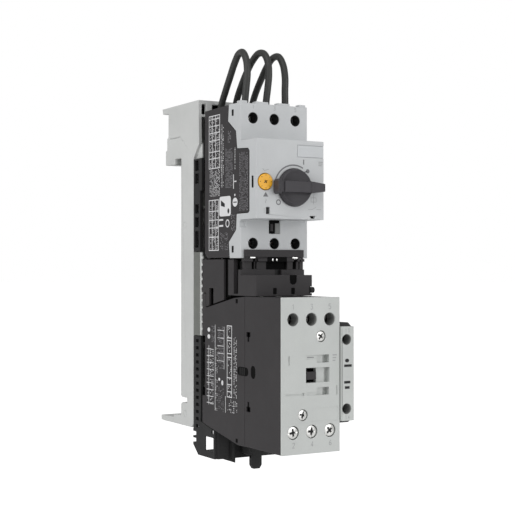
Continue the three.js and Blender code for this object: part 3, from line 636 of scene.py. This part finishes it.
def rotary_handle():
    """A skirt with a dished front, and across it a grip bar: butt, groove, bar and pointer."""
    x, z = HANDLE
    bm = bmesh.new()
    rim = fillet((9.6, -3.05), 0.5, -100, -15)
    dish = [(0, -2.7), (3, -2.75), (6, -2.9), (8, -3.14), (9, -3.38)]
    lathe(bm, dish + rim + [(10.8, -0.75), (10.9, -0.6), (10.8, -0.45), (0, -0.45)], x, z, 96)
    knob = to_object("rotary_handle_grip", bm)
    bars = [
        block("butt", x - 14.1, x - 13.2, -6.8, -0.9, 3.0, 4.1),
        block("butt_inner", x - 13.3, x - 12.1, -7.1, -0.9, 4.1, 4.1),
        block("groove", x - 12.3, x - 9.9, -6.1, -0.9, 3.15, 3.15),
        block("bar", x - 10, x + 7.3, -7.2, -0.9, 3.15, 3.15),
        block("pointer", x + 7.1, x + 16.9, -6.9, -0.9, 3.45, 2.2),
    ]
    carve(knob, bars, "UNION")
    finish_piece(knob, "handle_plastic", "handle", 0.3, 3)
    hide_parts("rotary_handle")


def cross_cutter(x, z, depth_from, depth_to, arm, width, turn):
    """A cross with arms that narrow with depth."""
    bm = bmesh.new()
    near, far = [], []
    for points, y, scale in ((near, depth_from, 1.0), (far, depth_to, 0.45)):
        for quarter in range(4):
            a = math.radians(turn + 90 * quarter)
            out = Vector((math.cos(a), math.sin(a)))
            side = Vector((-out.y, out.x))
            for reach, shift in ((arm * scale, -width / 2), (arm * scale, width / 2), (width / 2, width / 2)):
                p = out * reach + side * shift
                points.append(bm.verts.new(at(x + p.x, y, z + p.y)))
    bm.faces.new(near)
    bm.faces.new(list(reversed(far)))
    for i in range(len(near)):
        bm.faces.new((near[i - 1], near[i], far[i], far[i - 1]))
    return to_object("cross_cutter", bm)


def current_dial():
    """A yellow disc with a cross recess and eight scale marks round it; a dark cross set in the recess is
    painted shade.
    """
    x, z = DIAL
    bm = bmesh.new()
    edge = fillet((DIAL_RADIUS - 0.35, -0.25), 0.35, -90, 0)
    lathe(bm, [(0, -0.6), (2.2, -0.6)] + edge + [(DIAL_RADIUS, 2.4), (2, 2.4), (2, 9), (0, 9)], x, z, 72)
    dial = to_object("current_dial_face", bm)
    carve(dial, [cross_cutter(x, z, -0.9, 0.5, 1.45, 0.62, 35)], "DIFFERENCE")
    finish_piece(dial, "yellow_plastic", "dial")
    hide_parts("current_dial")
    marks = Print("dial_marks", front_plane(-0.6), "dark_ink", "dial")
    for step in range(8):
        a = math.radians(-90 + 45 * step)
        marks.line([(x + r * math.cos(a), z + r * math.sin(a)) for r in (3.35, 3.95)], 0.3)
    marks.done()
    # Painted shade: a dark cross set inside the recess, darker than the recess's own shade.
    recess_shade = Print("dial_arrow", front_plane(-0.2), "dark_ink", "dial")
    for turn in (35, 125):
        a = math.radians(turn)
        recess_shade.line([(x + r * math.cos(a), z + r * math.sin(a)) for r in (-1.25, 1.25)], 0.55)
    recess_shade.done()


rotary_handle()
current_dial()


# ---------------------------------------------------------------- screws

SCREWS = {  # node: turn of the driver recess, in degrees
    "line_screw_left": 20, "line_screw_middle": 65, "line_screw_right": 38, "outlet_screw_left": 52,
    "outlet_screw_middle": 12, "outlet_screw_right": 80, "supply_screw_left": 30, "supply_screw_middle": 75,
    "supply_screw_right": 5, "motor_screw_left": 8, "motor_screw_middle": 84, "motor_screw_right": 40,
    "coil_screw_a1": 55, "coil_screw_a2": 75, "aux_screw_upper": 25, "aux_screw_lower": 62,
}


def terminal_screw(node, turn):
    """A pan head with a cross recess, a shallow slot across it and a rolled thread behind."""
    low, high = drawn_box(node)
    x, z = (low.x + high.x) / 2, (low.z + high.z) / 2
    radius, front = (high.x - low.x) / 2, low.y
    shank, pitch = radius * 0.55, 0.7
    dome = [(0, front), (radius * 0.5, front + 0.04), (radius * 0.8, front + 0.14)]
    edge = fillet((radius - 0.45, front + 0.66), 0.45, -80, 0)
    profile = dome + edge + [(radius, front + 2.5), (shank, front + 2.6)]
    y = front + 2.8
    while y + pitch < high.y:
        profile += [(shank - 0.22, y), (shank, y + pitch / 2)]
        y += pitch
    profile += [(shank - 0.25, high.y - 0.3), (shank - 0.5, high.y), (0, high.y)]
    bm = bmesh.new()
    lathe(bm, profile, x, z, 48)
    screw = to_object(node + "_turned", bm)
    arm = radius * 0.72
    cross = cross_cutter(x, z, front - 0.3, front + 1.7, arm, radius * 0.36, turn)
    bm = bmesh.new()
    a = math.radians(turn)
    along, side = Vector((math.cos(a), math.sin(a))), Vector((-math.sin(a), math.cos(a)))
    half = radius * 0.11
    corners = [along * s * (radius + 1) + side * t * half for s, t in ((-1, -1), (1, -1), (1, 1), (-1, 1))]
    slab(bm, [(x + c.x, z + c.y) for c in corners], [(0, 1, 2, 3)], front_plane(front), -0.55, 1)
    carve(screw, [cross, to_object("slot_cutter", bm)], "DIFFERENCE")
    finish_piece(screw, NODE_SLOT[node], NODE_BODY[node])
    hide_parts(node)
    # Painted shade: a black disc at the bottom of the cross recess, where there is only the recess's shade.
    bm = bmesh.new()
    lathe(bm, [(0, front + 0.75), (arm, front + 0.75), (arm, front + 0.95), (0, front + 0.95)], x, z, 24)
    from_bmesh(node + "_recess_painted_shade", bm, "black_plastic", NODE_BODY[node])


def screw_sleeve(name, look, x, z, outer, inner, front, back):
    """A sleeve inside a screw hole."""
    bm = bmesh.new()
    profile = [
        (inner, front + 0.15), (outer - 0.08, front), (outer, front + 0.1), (outer, back), (inner, back)
    ]
    sides = 48
    rings = []
    for radius, y in profile:
        turns = (2 * math.pi * i / sides for i in range(sides))
        rings.append([bm.verts.new(at(x + radius * math.cos(t), y, z + radius * math.sin(t))) for t in turns])
    for a, b in zip(rings, rings[1:] + rings[:1]):
        for i in range(sides):
            bm.faces.new((a[i - 1], a[i], b[i], b[i - 1]))
    from_bmesh(name, bm, look, "starter")


for node, turn in SCREWS.items():
    terminal_screw(node, turn)
# The black sleeves in the breaker's screw holes are painted shade: a dark ring round each head where the gap
# holds only shade.
for side, x in zip(("left", "middle", "right"), POLES):
    for row, z in (("line", TERMINAL_Z), ("outlet", -TERMINAL_Z)):
        name = f"{row}_screw_{side}_sleeve"
        screw_sleeve(name, "black_plastic", x, z, 3.24, 3.0, TERMINAL_Y + 0.45, 25.3)
for side, x in zip(("left", "middle", "right"), WAYS):
    name = f"supply_screw_{side}_sleeve"
    screw_sleeve(name, "well_grey", x - 0.2, SUPPLY_Z, 3.49, 3.28, FACE_Y + 1.0, FACE_Y + 7.6)
for side, z in AUX_SCREW_Z:
    name = f"aux_screw_{side}_sleeve"
    screw_sleeve(name, "well_grey", AUX_SCREW_X, z, 2.94, 2.75, AUX_FACE_Y + 0.5, AUX_FACE_Y + 7.4)


# ---------------------------------------------------------------- painted shade in openings and gaps, and other small pieces

def side_capsule(name, y, z, radius, half, look, low, high, upright):
    """A plate with round ends on the left face. From its centre to the centre of each end is half."""
    bm = bmesh.new()
    outline = []
    for sign, start in ((1, -90), (-1, 90)):
        for step in range(13):
            t = math.radians(start + 15 * step)
            along, across = sign * half + radius * math.cos(t), radius * math.sin(t)
            outline.append((y - across, z + along) if upright else (y + along, z + across))
    slab(bm, outline, [list(range(len(outline)))], left_plane(LEFT_X), low, high)
    return from_bmesh(name, bm, look, "starter", 0.05)


def painted_shade_in_openings():
    """Painted shade: near-black pieces set just below the surfaces around slots, ports, notches and holes,
    where there is only shade; the contact port also gets a grey ledge and a dark step.
    """
    for name, z in (("upper", (37.72, 41.38)), ("lower", (-41.18, -37.32))):
        brick(f"{name}_slot_insert", (-22.0, -20.7), (26.02, 28.68), z, "painted_shade_black")
    brick("side_slit_painted_shade", (-22.1, -20.7), (3.02, 5.28), (-5.08, 1.58), "painted_shade_black")
    brick("contact_port_painted_shade", (-3.48, 3.98), (18.9, 20.4), (-30.28, -22.12), "painted_shade_black")
    brick("contact_port_ledge", (0.9, 3.96), (18.3, 19.2), (-30.26, -24.2), "well_grey", bevel=0.1)
    brick("contact_port_step", (-2.2, -0.4), (18.4, 19.0), (-28.8, -24.6), "dark_plastic", bevel=0.1)
    brick("panel_notch_painted_shade", (14.2, 15.8), (0.7, 1.5), (-21.7, -20.45), "painted_shade_black")
    for name, z in (("upper", -88.9), ("lower", -128.2)):
        brick(f"{name}_hook_slot_painted_shade", (-22.1, -20.4), (7.82, 9.78), (z - 2.68, z + 2.68), "painted_shade_black")
    brick("upper_hook_slot_side_painted_shade", (-22.1, -20.4), (6.52, 10.98), (-88.88, -86.22), "painted_shade_black")
    brick("lower_hook_slot_side_painted_shade", (-22.1, -20.4), (6.52, 10.98), (-130.98, -128.22), "painted_shade_black")
    side_capsule("side_port_painted_shade", 3.45, -108.4, 2.58, 1.05, "painted_shade_black", -1.9, -0.35, True)
    for name, z in (("upper", -69.1), ("lower", -148.85)):
        brick(f"{name}_pin_hole_painted_shade", (-22.2, -20.3), (21.12, 23.68), (z - 1.13, z + 1.13), "painted_shade_black")
    for name, x in (("left", -10.1), ("right", 1.8)):
        brick(f"link_notch_{name}_insert", (x - 1.18, x + 1.18), (0.35, 1.55), (-64.98, -61.42), "painted_shade_black")
    bm = bmesh.new()
    arch = [(4.28, -57.3), (4.28, -54.12), (-0.28, -54.12), (-0.28, -57.3)]
    turns = [math.radians(t) for t in range(190, 360, 17)]
    arch += [(2 + 2.28 * math.cos(t), -57.3 + 2.28 * math.sin(t)) for t in turns]
    slab(bm, arch, [list(range(len(arch)))], front_plane(0), -2.1, -0.6)
    from_bmesh("link_hole_painted_shade", bm, "painted_shade_black", "starter")


def marker():
    """The blank marker plate, a close fit in its recess."""
    plate = brick("marker_plate_blank", (4.9, 22.35), (0.03, 0.9), (13.1, 19.7), "marker_plastic", bevel=0.1)
    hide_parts("marker_plate")


def gap_fillers():
    """The adapter's light notched strip, bright metal tips in the link module, and painted shade there:
    near-black sheets where there is only shade.
    """
    outline = [(66.6, -90.8), (68.3, -90.8), (68.3, -40.6), (66.6, -40.6)]
    tooth = -43.0
    while tooth > -89:
        outline += [(66.6, tooth), (65.3, tooth - 0.2), (65.3, tooth - 1.4), (66.6, tooth - 1.6)]
        tooth -= 4.3
    bm = bmesh.new()
    slab(bm, outline, [list(range(len(outline)))], left_plane(LEFT_X), -1.4, -0.25)
    from_bmesh("carrier_strip", bm, "carrier_plastic", "starter", 0.08)
    # Painted shade: near-black sheets beside the link module, behind its prongs and in its hood, where there
    # is only shade.
    brick("link_painted_shade", (-20.5, -20.0), (32.8, 43.6), (-66.9, -45), "painted_shade_black")
    brick("prong_painted_shade", (-19.6, 20.0), (20.6, 20.95), (-50.9, -44.9), "painted_shade_black")
    brick("hood_painted_shade", (-5.1, 7.9), (16.78, 17.06), (-46.42, -43.8), "painted_shade_black")
    for name, x in (("left", (-2.3, -1.4)), ("right", (0.45, 1.35))):
        brick(f"link_clip_{name}", x, (16.3, 17.0), (-46.0, -44.7), "screw_steel", bevel=0.1)
    for name, x in (("left", (-16.9, -13.5)), ("right", (11.5, 15.1))):
        brick(f"link_contact_{name}", x, (16.3, 17.1), (-44.5, -43.75), "screw_steel", bevel=0.1)


painted_shade_in_openings()
marker()
gap_fillers()


# ---------------------------------------------------------------- leads and springs

LEAD_ROUTES = {
    "line_lead_left": [
        (-14, 27.7, 40.8), (-14, 27.5, 47), (-14, 26, 55), (-14, 24.8, 63), (-13.9, 26.2, 70.5),
        (-13.8, 30.5, 75.6), (-13.4, 36, 75.6), (-13, 41.6, 71.4), (-12.2, 48.6, 64.4), (-11.2, 56.4, 56.6),
        (-10.4, 62.6, 49.8), (-9.8, 66.2, 43.2), (-8.6, 70, 36.4), (-6, 76, 31), (-2.6, 82.6, 27),
        (-0.4, 86.6, 20.5), (0, 87.2, 10.4),
    ],
    "line_lead_middle": [
        (0.3, 27.9, 40.8), (0.4, 27.9, 47), (0.7, 26.6, 55), (0.9, 25.6, 63), (0.9, 26.6, 70.5),
        (0.7, 30.6, 76), (0.4, 36.6, 77.2), (0.2, 43.4, 74), (0.1, 50.4, 68), (0, 57, 60.6), (0, 62.4, 53.2),
        (0, 65.8, 45), (0, 68.6, 37.6), (0, 74, 31), (0, 79, 24), (0, 80.4, 14), (0, 80.4, -4),
        (0, 80.4, -24), (0, 81.6, -36), (0, 86, -42.5), (0, 87.2, -49.6),
    ],
    "line_lead_right": [
        (13.8, 28.6, 40.8), (13.9, 28.7, 47), (14, 29, 55), (14.2, 29.2, 63), (14.1, 31.4, 71),
        (13.8, 36.2, 76.4), (13.4, 42, 76.4), (13, 48.6, 72), (12.6, 54.4, 65.6), (12.2, 60, 58.6),
        (11.8, 64, 51.6), (11.2, 66.2, 44), (10.2, 69, 37), (8.2, 74.6, 31.4), (6.6, 79.2, 24),
        (6.2, 80.4, 14), (6.2, 80.4, -4), (6.2, 80.4, -34), (6.2, 80.4, -64), (5.6, 80.4, -84),
        (3.6, 81.6, -96), (1, 85.6, -102.4), (0.2, 87.2, -109.6),
    ],
}


def smooth_route(points, steps=7):
    """A centripetal Catmull-Rom curve through the points."""
    points = [Vector(p) for p in points]
    points = [2 * points[0] - points[1]] + points + [2 * points[-1] - points[-2]]
    route = []
    for p0, p1, p2, p3 in zip(points, points[1:], points[2:], points[3:]):
        t1 = math.sqrt((p1 - p0).length)
        t2 = t1 + math.sqrt((p2 - p1).length)
        t3 = t2 + math.sqrt((p3 - p2).length)
        for i in range(steps):
            t = t1 + (t2 - t1) * i / steps
            a1 = p0.lerp(p1, t / t1)
            a2 = p1.lerp(p2, (t - t1) / (t2 - t1))
            a3 = p2.lerp(p3, (t - t2) / (t3 - t2))
            b1 = a1.lerp(a2, t / t2)
            b2 = a2.lerp(a3, (t - t1) / (t3 - t1))
            route.append(b1.lerp(b2, (t - t1) / (t2 - t1)))
    return route + [points[-2]]


def round_bar(name, route, diameter, look, sides=24, rounding=0.0):
    """A round bar along a route, with its section carried along without twist."""
    bm = bmesh.new()
    rings = []
    normal = None
    for i, place in enumerate(route):
        along = (route[min(i + 1, len(route) - 1)] - route[max(i - 1, 0)]).normalized()
        start = normal or along.orthogonal()
        normal = (start - along * start.dot(along)).normalized()
        across = along.cross(normal)
        turns = (2 * math.pi * k / sides for k in range(sides))
        ring = [place + (normal * math.cos(t) + across * math.sin(t)) * diameter / 2 for t in turns]
        rings.append([bm.verts.new(at(*p)) for p in ring])
    for a, b in zip(rings, rings[1:]):
        for k in range(sides):
            bm.faces.new((a[k - 1], a[k], b[k], b[k - 1]))
    bm.faces.new(rings[0])
    bm.faces.new(rings[-1])
    return from_bmesh(name, bm, look, "starter", rounding)


for node, points in LEAD_ROUTES.items():
    lead = round_bar(node + "_sleeve", smooth_route(points), LEAD_DIAMETER, "lead_insulation", 28, 0.25)
    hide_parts(node)


def helix(x, y, z, radius, pitch, turns, axis):
    """A coil whose axis runs along y or z from its starting point."""
    route = []
    for i in range(turns * 28 + 1):
        t = 2 * math.pi * i / 28
        a, b, run = radius * math.cos(t), radius * math.sin(t), pitch * i / 28
        route.append(Vector((x + a, y + run, z + b) if axis == "y" else (x + a, y + b, z + run)))
    return route


lock_coil = helix(6.4, 87.4, -144.2, 1.9, 2.05, 5, "z")
lock_wire = round_bar("lock_spring_wire", lock_coil, 0.9, "spring_steel", 12)
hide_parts("lock_spring")
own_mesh(lock_wire)
return_coil = helix(-4, 25.5, -101.2, 2, 5.6 / 3, 3, "y")
return_wire = round_bar("return_spring_wire", return_coil, 0.8, "spring_steel", 12)
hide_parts("return_spring")


# ---------------------------------------------------------------- printed marks

def panel_marks():
    """Switch marks, setting pointer and circuit signs on the breaker's panel."""
    x, z = HANDLE
    marks = Print("panel_marks", front_plane(PANEL_Y), "grey_ink")
    marks.arc(x, z, 12.7, 162, 61.6, 0.8)
    marks.bar(8.5, 9.2, 8.8, 11.6)
    marks.ring(-7.9, -13.1, 1.3, 0.6)
    marks.polygon([(-16.2, -7.5), (-17.9, -10.2), (-14.5, -10.2)])
    marks.disc(11.6, 5.1, 1.2)
    marks.line([(9.2, 4.3), (11.0, 5.0)], 0.7)
    marks.done()
    signs = Print("panel_signs", front_plane(PANEL_Y), "faint_ink")
    signs.frame(13.7, 17.4, -12.5, -9.8, 0.25)
    signs.line([(15.5, -8.6), (15.5, -13.6)], 0.25)
    signs.line([(11.8, -16.6), (14.8, -16.6), (17.2, -15.2)], 0.25)
    signs.line([(17.6, -16.6), (20.7, -16.6)], 0.25)
    signs.line([(-16.2, -11.4), (-15.8, -12.2), (-16.6, -13.0), (-16.2, -13.8)], 0.3)
    signs.line([(-17.2, -16.4), (-17.2, -19.4)], 0.25)
    signs.line([(-18.2, 5.4), (-17.0, 4.4), (-14.2, 5.2)], 0.3)
    for k in range(3):
        signs.bar(18.9, 21.9 - 0.4 * k, 10.4 - 1.0 * k, 10.9 - 1.0 * k)
    signs.done()


def terminal_numbers():
    """Terminal numbers on the breaker's terminal blocks and on the contactor's face."""
    cover = Print("breaker_terminal_numbers", front_plane(TERMINAL_Y), "faint_ink")
    for i, x in enumerate(POLES):
        cover.numeral(2 * i + 1, x, 42.3, 2.0, 0.26)
        cover.numeral(2 * i + 2, x, -42.4, 2.0, 0.26)
    cover.done()
    face = Print("contactor_terminal_numbers", front_plane(FACE_Y), "faint_ink")
    for i, x in enumerate(WAYS):
        face.numeral(2 * i + 1, x - 0.2, -71.2, 2.7)
        face.numeral(2 * i + 2, x, -145.8, 2.7)
    face.done()


def contactor_face_marks():
    """Short bars on the contactor's face, and switch signs and numbers on the auxiliary contact's."""
    marks = Print("contactor_face_marks", front_plane(FACE_Y), "faint_ink")
    for k in range(3):
        marks.bar(10.4, 13.2 - 0.5 * k, -98.2 - 1.5 * k, -97.6 - 1.5 * k)
    marks.done()
    slot_line = Print("contactor_slot_line", front_plane(FACE_Y + 0.5), "grey_ink")
    slot_line.bar(-5.9, -1.6, -99.0, -98.6)
    slot_line.done()
    rail = Print("aux_face_marks", front_plane(AUX_FACE_Y), "dark_ink")
    middle = 19.0
    rail.disc(18.85, -101.2, 1.35, 1.05)
    rail.bar(16.9, 21.9, -104.7, -103.35)
    rail.bar(16.9, 21.0, -113.85, -112.45)
    rail.bar(17.35, 20.5, -116.8, -115.35)
    rail.done()
    thin = Print("aux_face_lines", front_plane(AUX_FACE_Y), "faint_ink")
    thin.numeral(1, middle - 0.9, -84.6, 1.8, 0.24)
    thin.numeral(3, middle + 0.9, -84.6, 1.8, 0.24)
    thin.numeral(1, middle - 0.9, -132.4, 1.8, 0.24)
    thin.numeral(4, middle + 0.9, -132.4, 1.8, 0.24)
    thin.done()


def table(marks, columns, rows, width):
    """Ruled lines: columns are u values, rows are v values from top to bottom."""
    for u in columns:
        marks.bar(u - width / 2, u + width / 2, rows[-1] - width / 2, rows[0] + width / 2)
    for v in rows:
        for a, b in zip(sorted(columns), sorted(columns)[1:]):
            marks.bar(a + width / 2, b - width / 2, v - width / 2, v + width / 2)


def breaker_side_print():
    """Ruled tables and blots in place of fine print on the breaker's left side."""
    pick = random.Random(11)
    plane = left_plane(-22.4)
    marks = Print("breaker_side_table", plane, "white_ink")
    table(marks, [56.3, 52.2, 48.1, 42.9], [40.2, 38.2, 34.1, 30.0, 25.5, 18.8, 14.8, 9.0], 0.5)
    table(marks, [56.3, 52.3, 48.4, 44.4], [-9.9, -16.4, -21.7, -26.3, -31.8, -39.6], 0.5)
    marks.bar(39.9, 40.2, -3, 34)
    for v in (24.9, 12.6):
        marks.bar(38.4, 40.2, v, v + 0.35)
    marks.bar(25.7, 26.4, -4.5, 3.8)
    marks.bar(22.6, 25.2, -0.7, 0)
    marks.disc(24.5, -8.1, 0.7)
    marks.disc(24.2, -12.3, 2.9, 2.6)
    corner = 1.8
    rounded = []
    for cu, cv, start in ((41.5, -10.1, 0), (31.1, -10.1, 90), (31.1, -18.1, 180), (41.5, -18.1, 270)):
        for step in range(5):
            t = math.radians(start + 22.5 * step)
            rounded.append((cu + corner * math.cos(t), cv + corner * math.sin(t)))
    marks.polygon(rounded)
    marks.ring(33.3, -24.2, 2.0, 0.7)
    marks.bar(38.6, 43.6, -22.4, -21.4)
    marks.bar(38.6, 43.6, -25.9, -24.9)
    marks.done()
    text = Print("breaker_side_blots", plane, "white_ink")
    text.blots(43.4, 47.8, 9.6, 39.6, 0.75, 0.45, 0.6, pick)
    text.blots(48.6, 51.8, 9.6, 39.6, 0.75, 0.45, 0.5, pick)
    text.blots(52.6, 55.9, 9.6, 39.6, 0.75, 0.45, 0.6, pick)
    text.blots(42.9, 56.0, -7.6, 8.2, 0.75, 0.35, 0.72, pick)
    text.blots(44.9, 55.9, -39.0, -10.6, 0.75, 0.45, 0.55, pick)
    text.blots(40.6, 42.0, -2, 33, 0.7, 0.5, 0.5, pick)
    text.blots(38.0, 39.4, -2, 33, 0.7, 0.5, 0.6, pick)
    text.blots(23.9, 25.2, 6.7, 20.9, 0.75, 0.35, 0.85, pick)
    text.done()
    dim = Print("breaker_side_fine_print", plane, "pale_ink")
    dim.blots(27.4, 35.7, -3.5, 19.5, 0.7, 0.35, 0.8, pick)
    dim.blots(33.0, 42.6, -39.6, -29.4, 0.7, 0.45, 0.6, pick)
    dim.blots(24.0, 29.0, -28.6, -19.2, 0.7, 0.4, 0.7, pick)
    dim.blots(29.2, 33.4, 22.6, 29.4, 0.75, 0.4, 0.7, pick)
    dim.done()
    speckle = Print("breaker_side_speckle", plane, "pale_ink")
    speckle.blots(9.4, 19.3, -17.4, 15.8, 0.62, 0.42, 0.8, pick)
    speckle.done()
    signs = Print("breaker_side_signs", left_plane(-22.4 - INK), "dark_ink")
    signs.polygon([(41.3, -10.4), (41.3, -13.6), (36.6, -14.6), (36.6, -12.6)])
    signs.disc(32.2, -17.0, 1.1, 1.5)
    signs.bar(22.2, 26.2, -12.6, -12.0)
    signs.done()


def contactor_side_print():
    """Ruled tables and blots on the contactor's left side."""
    pick = random.Random(23)
    plane = left_plane(LEFT_X)
    marks = Print("contactor_side_table", plane, "white_ink")
    table(marks, [33.5, 28.0], [-83.6, -90.5, -92.1, -99.6, -101.8, -113.6, -117.5, -121.6, -124.7], 0.5)
    marks.bar(56.2, 56.6, -131.4, -96.2)
    for k in range(9):
        v = -98.3 - 4.0 * k
        marks.bar(50.4, 56.2, v - 0.18, v + 0.18)
        marks.bar(56.6, 59.0, v - 0.18, v + 0.18)
    marks.bar(48.1, 48.5, -134, -83.6)
    marks.bar(37.0, 37.3, -109, -84.2)
    for v in (-86.6, -91.1, -95.7, -100.1, -104.5):
        marks.bar(37.3, 45.4, v - 0.18, v + 0.18)
    marks.bar(35.3, 35.7, -134.2, -124.6)
    marks.disc(43.2, -115.4, 1.1, 0.9)
    marks.disc(39.4, -117.2, 1.2, 1.5)
    marks.disc(56.4, -86.8, 1.7, 1.3)
    marks.disc(56.4, -90.9, 1.7, 1.3)
    marks.done()
    text = Print("contactor_side_blots", plane, "white_ink")
    text.blots(28.6, 32.9, -124.3, -84, 0.75, 0.5, 0.35, pick)
    text.blots(22.0, 26.4, -124.7, -89.6, 0.75, 0.4, 0.62, pick)
    text.blots(21.6, 34.0, -133.6, -126, 0.8, 0.6, 0.55, pick)
    text.blots(50.6, 55.8, -131, -97, 0.75, 0.5, 0.5, pick)
    text.blots(57.0, 59.0, -131, -97, 0.75, 0.5, 0.5, pick)
    text.blots(45.6, 48.0, -134, -97, 0.7, 0.5, 0.45, pick)
    text.done()
    dim = Print("contactor_side_fine_print", plane, "pale_ink")
    dim.blots(37.6, 45.4, -109, -84.4, 0.75, 0.5, 0.7, pick)
    dim.blots(48.9, 53.0, -94, -84.4, 0.75, 0.45, 0.75, pick)
    dim.blots(38.0, 44.6, -134, -119.5, 0.75, 0.6, 0.45, pick)
    dim.done()


def coupling_plug():
    """Ribbed black plug in the port that crosses the contactor's side seam."""
    # The plug's body takes the painted-shade near-black, darker than its ribs' black plastic: its own black,
    # deepened with painted shade.
    side_capsule("coupling_plug", 14.9, -108.7, 2.45, 3.75, "painted_shade_black", -0.25, 0.12, False)
    proud = (LEFT_X - 0.28, LEFT_X)
    for i, y in enumerate((12.6, 14.9, 17.2)):
        brick(f"coupling_plug_rib_{i}", proud, (y, y + 0.9), (-110.7, -106.7), "black_plastic", bevel=0.08)


panel_marks()
terminal_numbers()
contactor_face_marks()
breaker_side_print()
contactor_side_print()
coupling_plug()


# ---------------------------------------------------------------- floor

def make_floor():
    """A wide pale disc, far enough below to take only a soft shade. Its glow doesn't light the object."""
    bm = bmesh.new()
    bmesh.ops.create_circle(bm, cap_ends=True, radius=30, segments=96)
    floor = to_object("floor", bm)
    floor.location = (0, 0, cad_low.z - 0.22)
    n = Nodes("pale_floor")
    tint = n.blend(n.noise(2, 3), (0.93, 0.93, 0.93, 1), (0.95, 0.95, 0.95, 1))
    n.feed(n.surface.inputs["Base Color"], tint)
    n.feed(n.surface.inputs["Emission Color"], tint)
    seen = n.new("ShaderNodeLightPath").outputs["Is Camera Ray"]
    n.feed(n.surface.inputs["Emission Strength"], n.math("MULTIPLY", seen, 0.6))
    n.surface.inputs["Roughness"].default_value = 0.9
    n.surface.inputs["Specular IOR Level"].default_value = 0.1
    floor.data.materials.append(n.material)


make_floor()
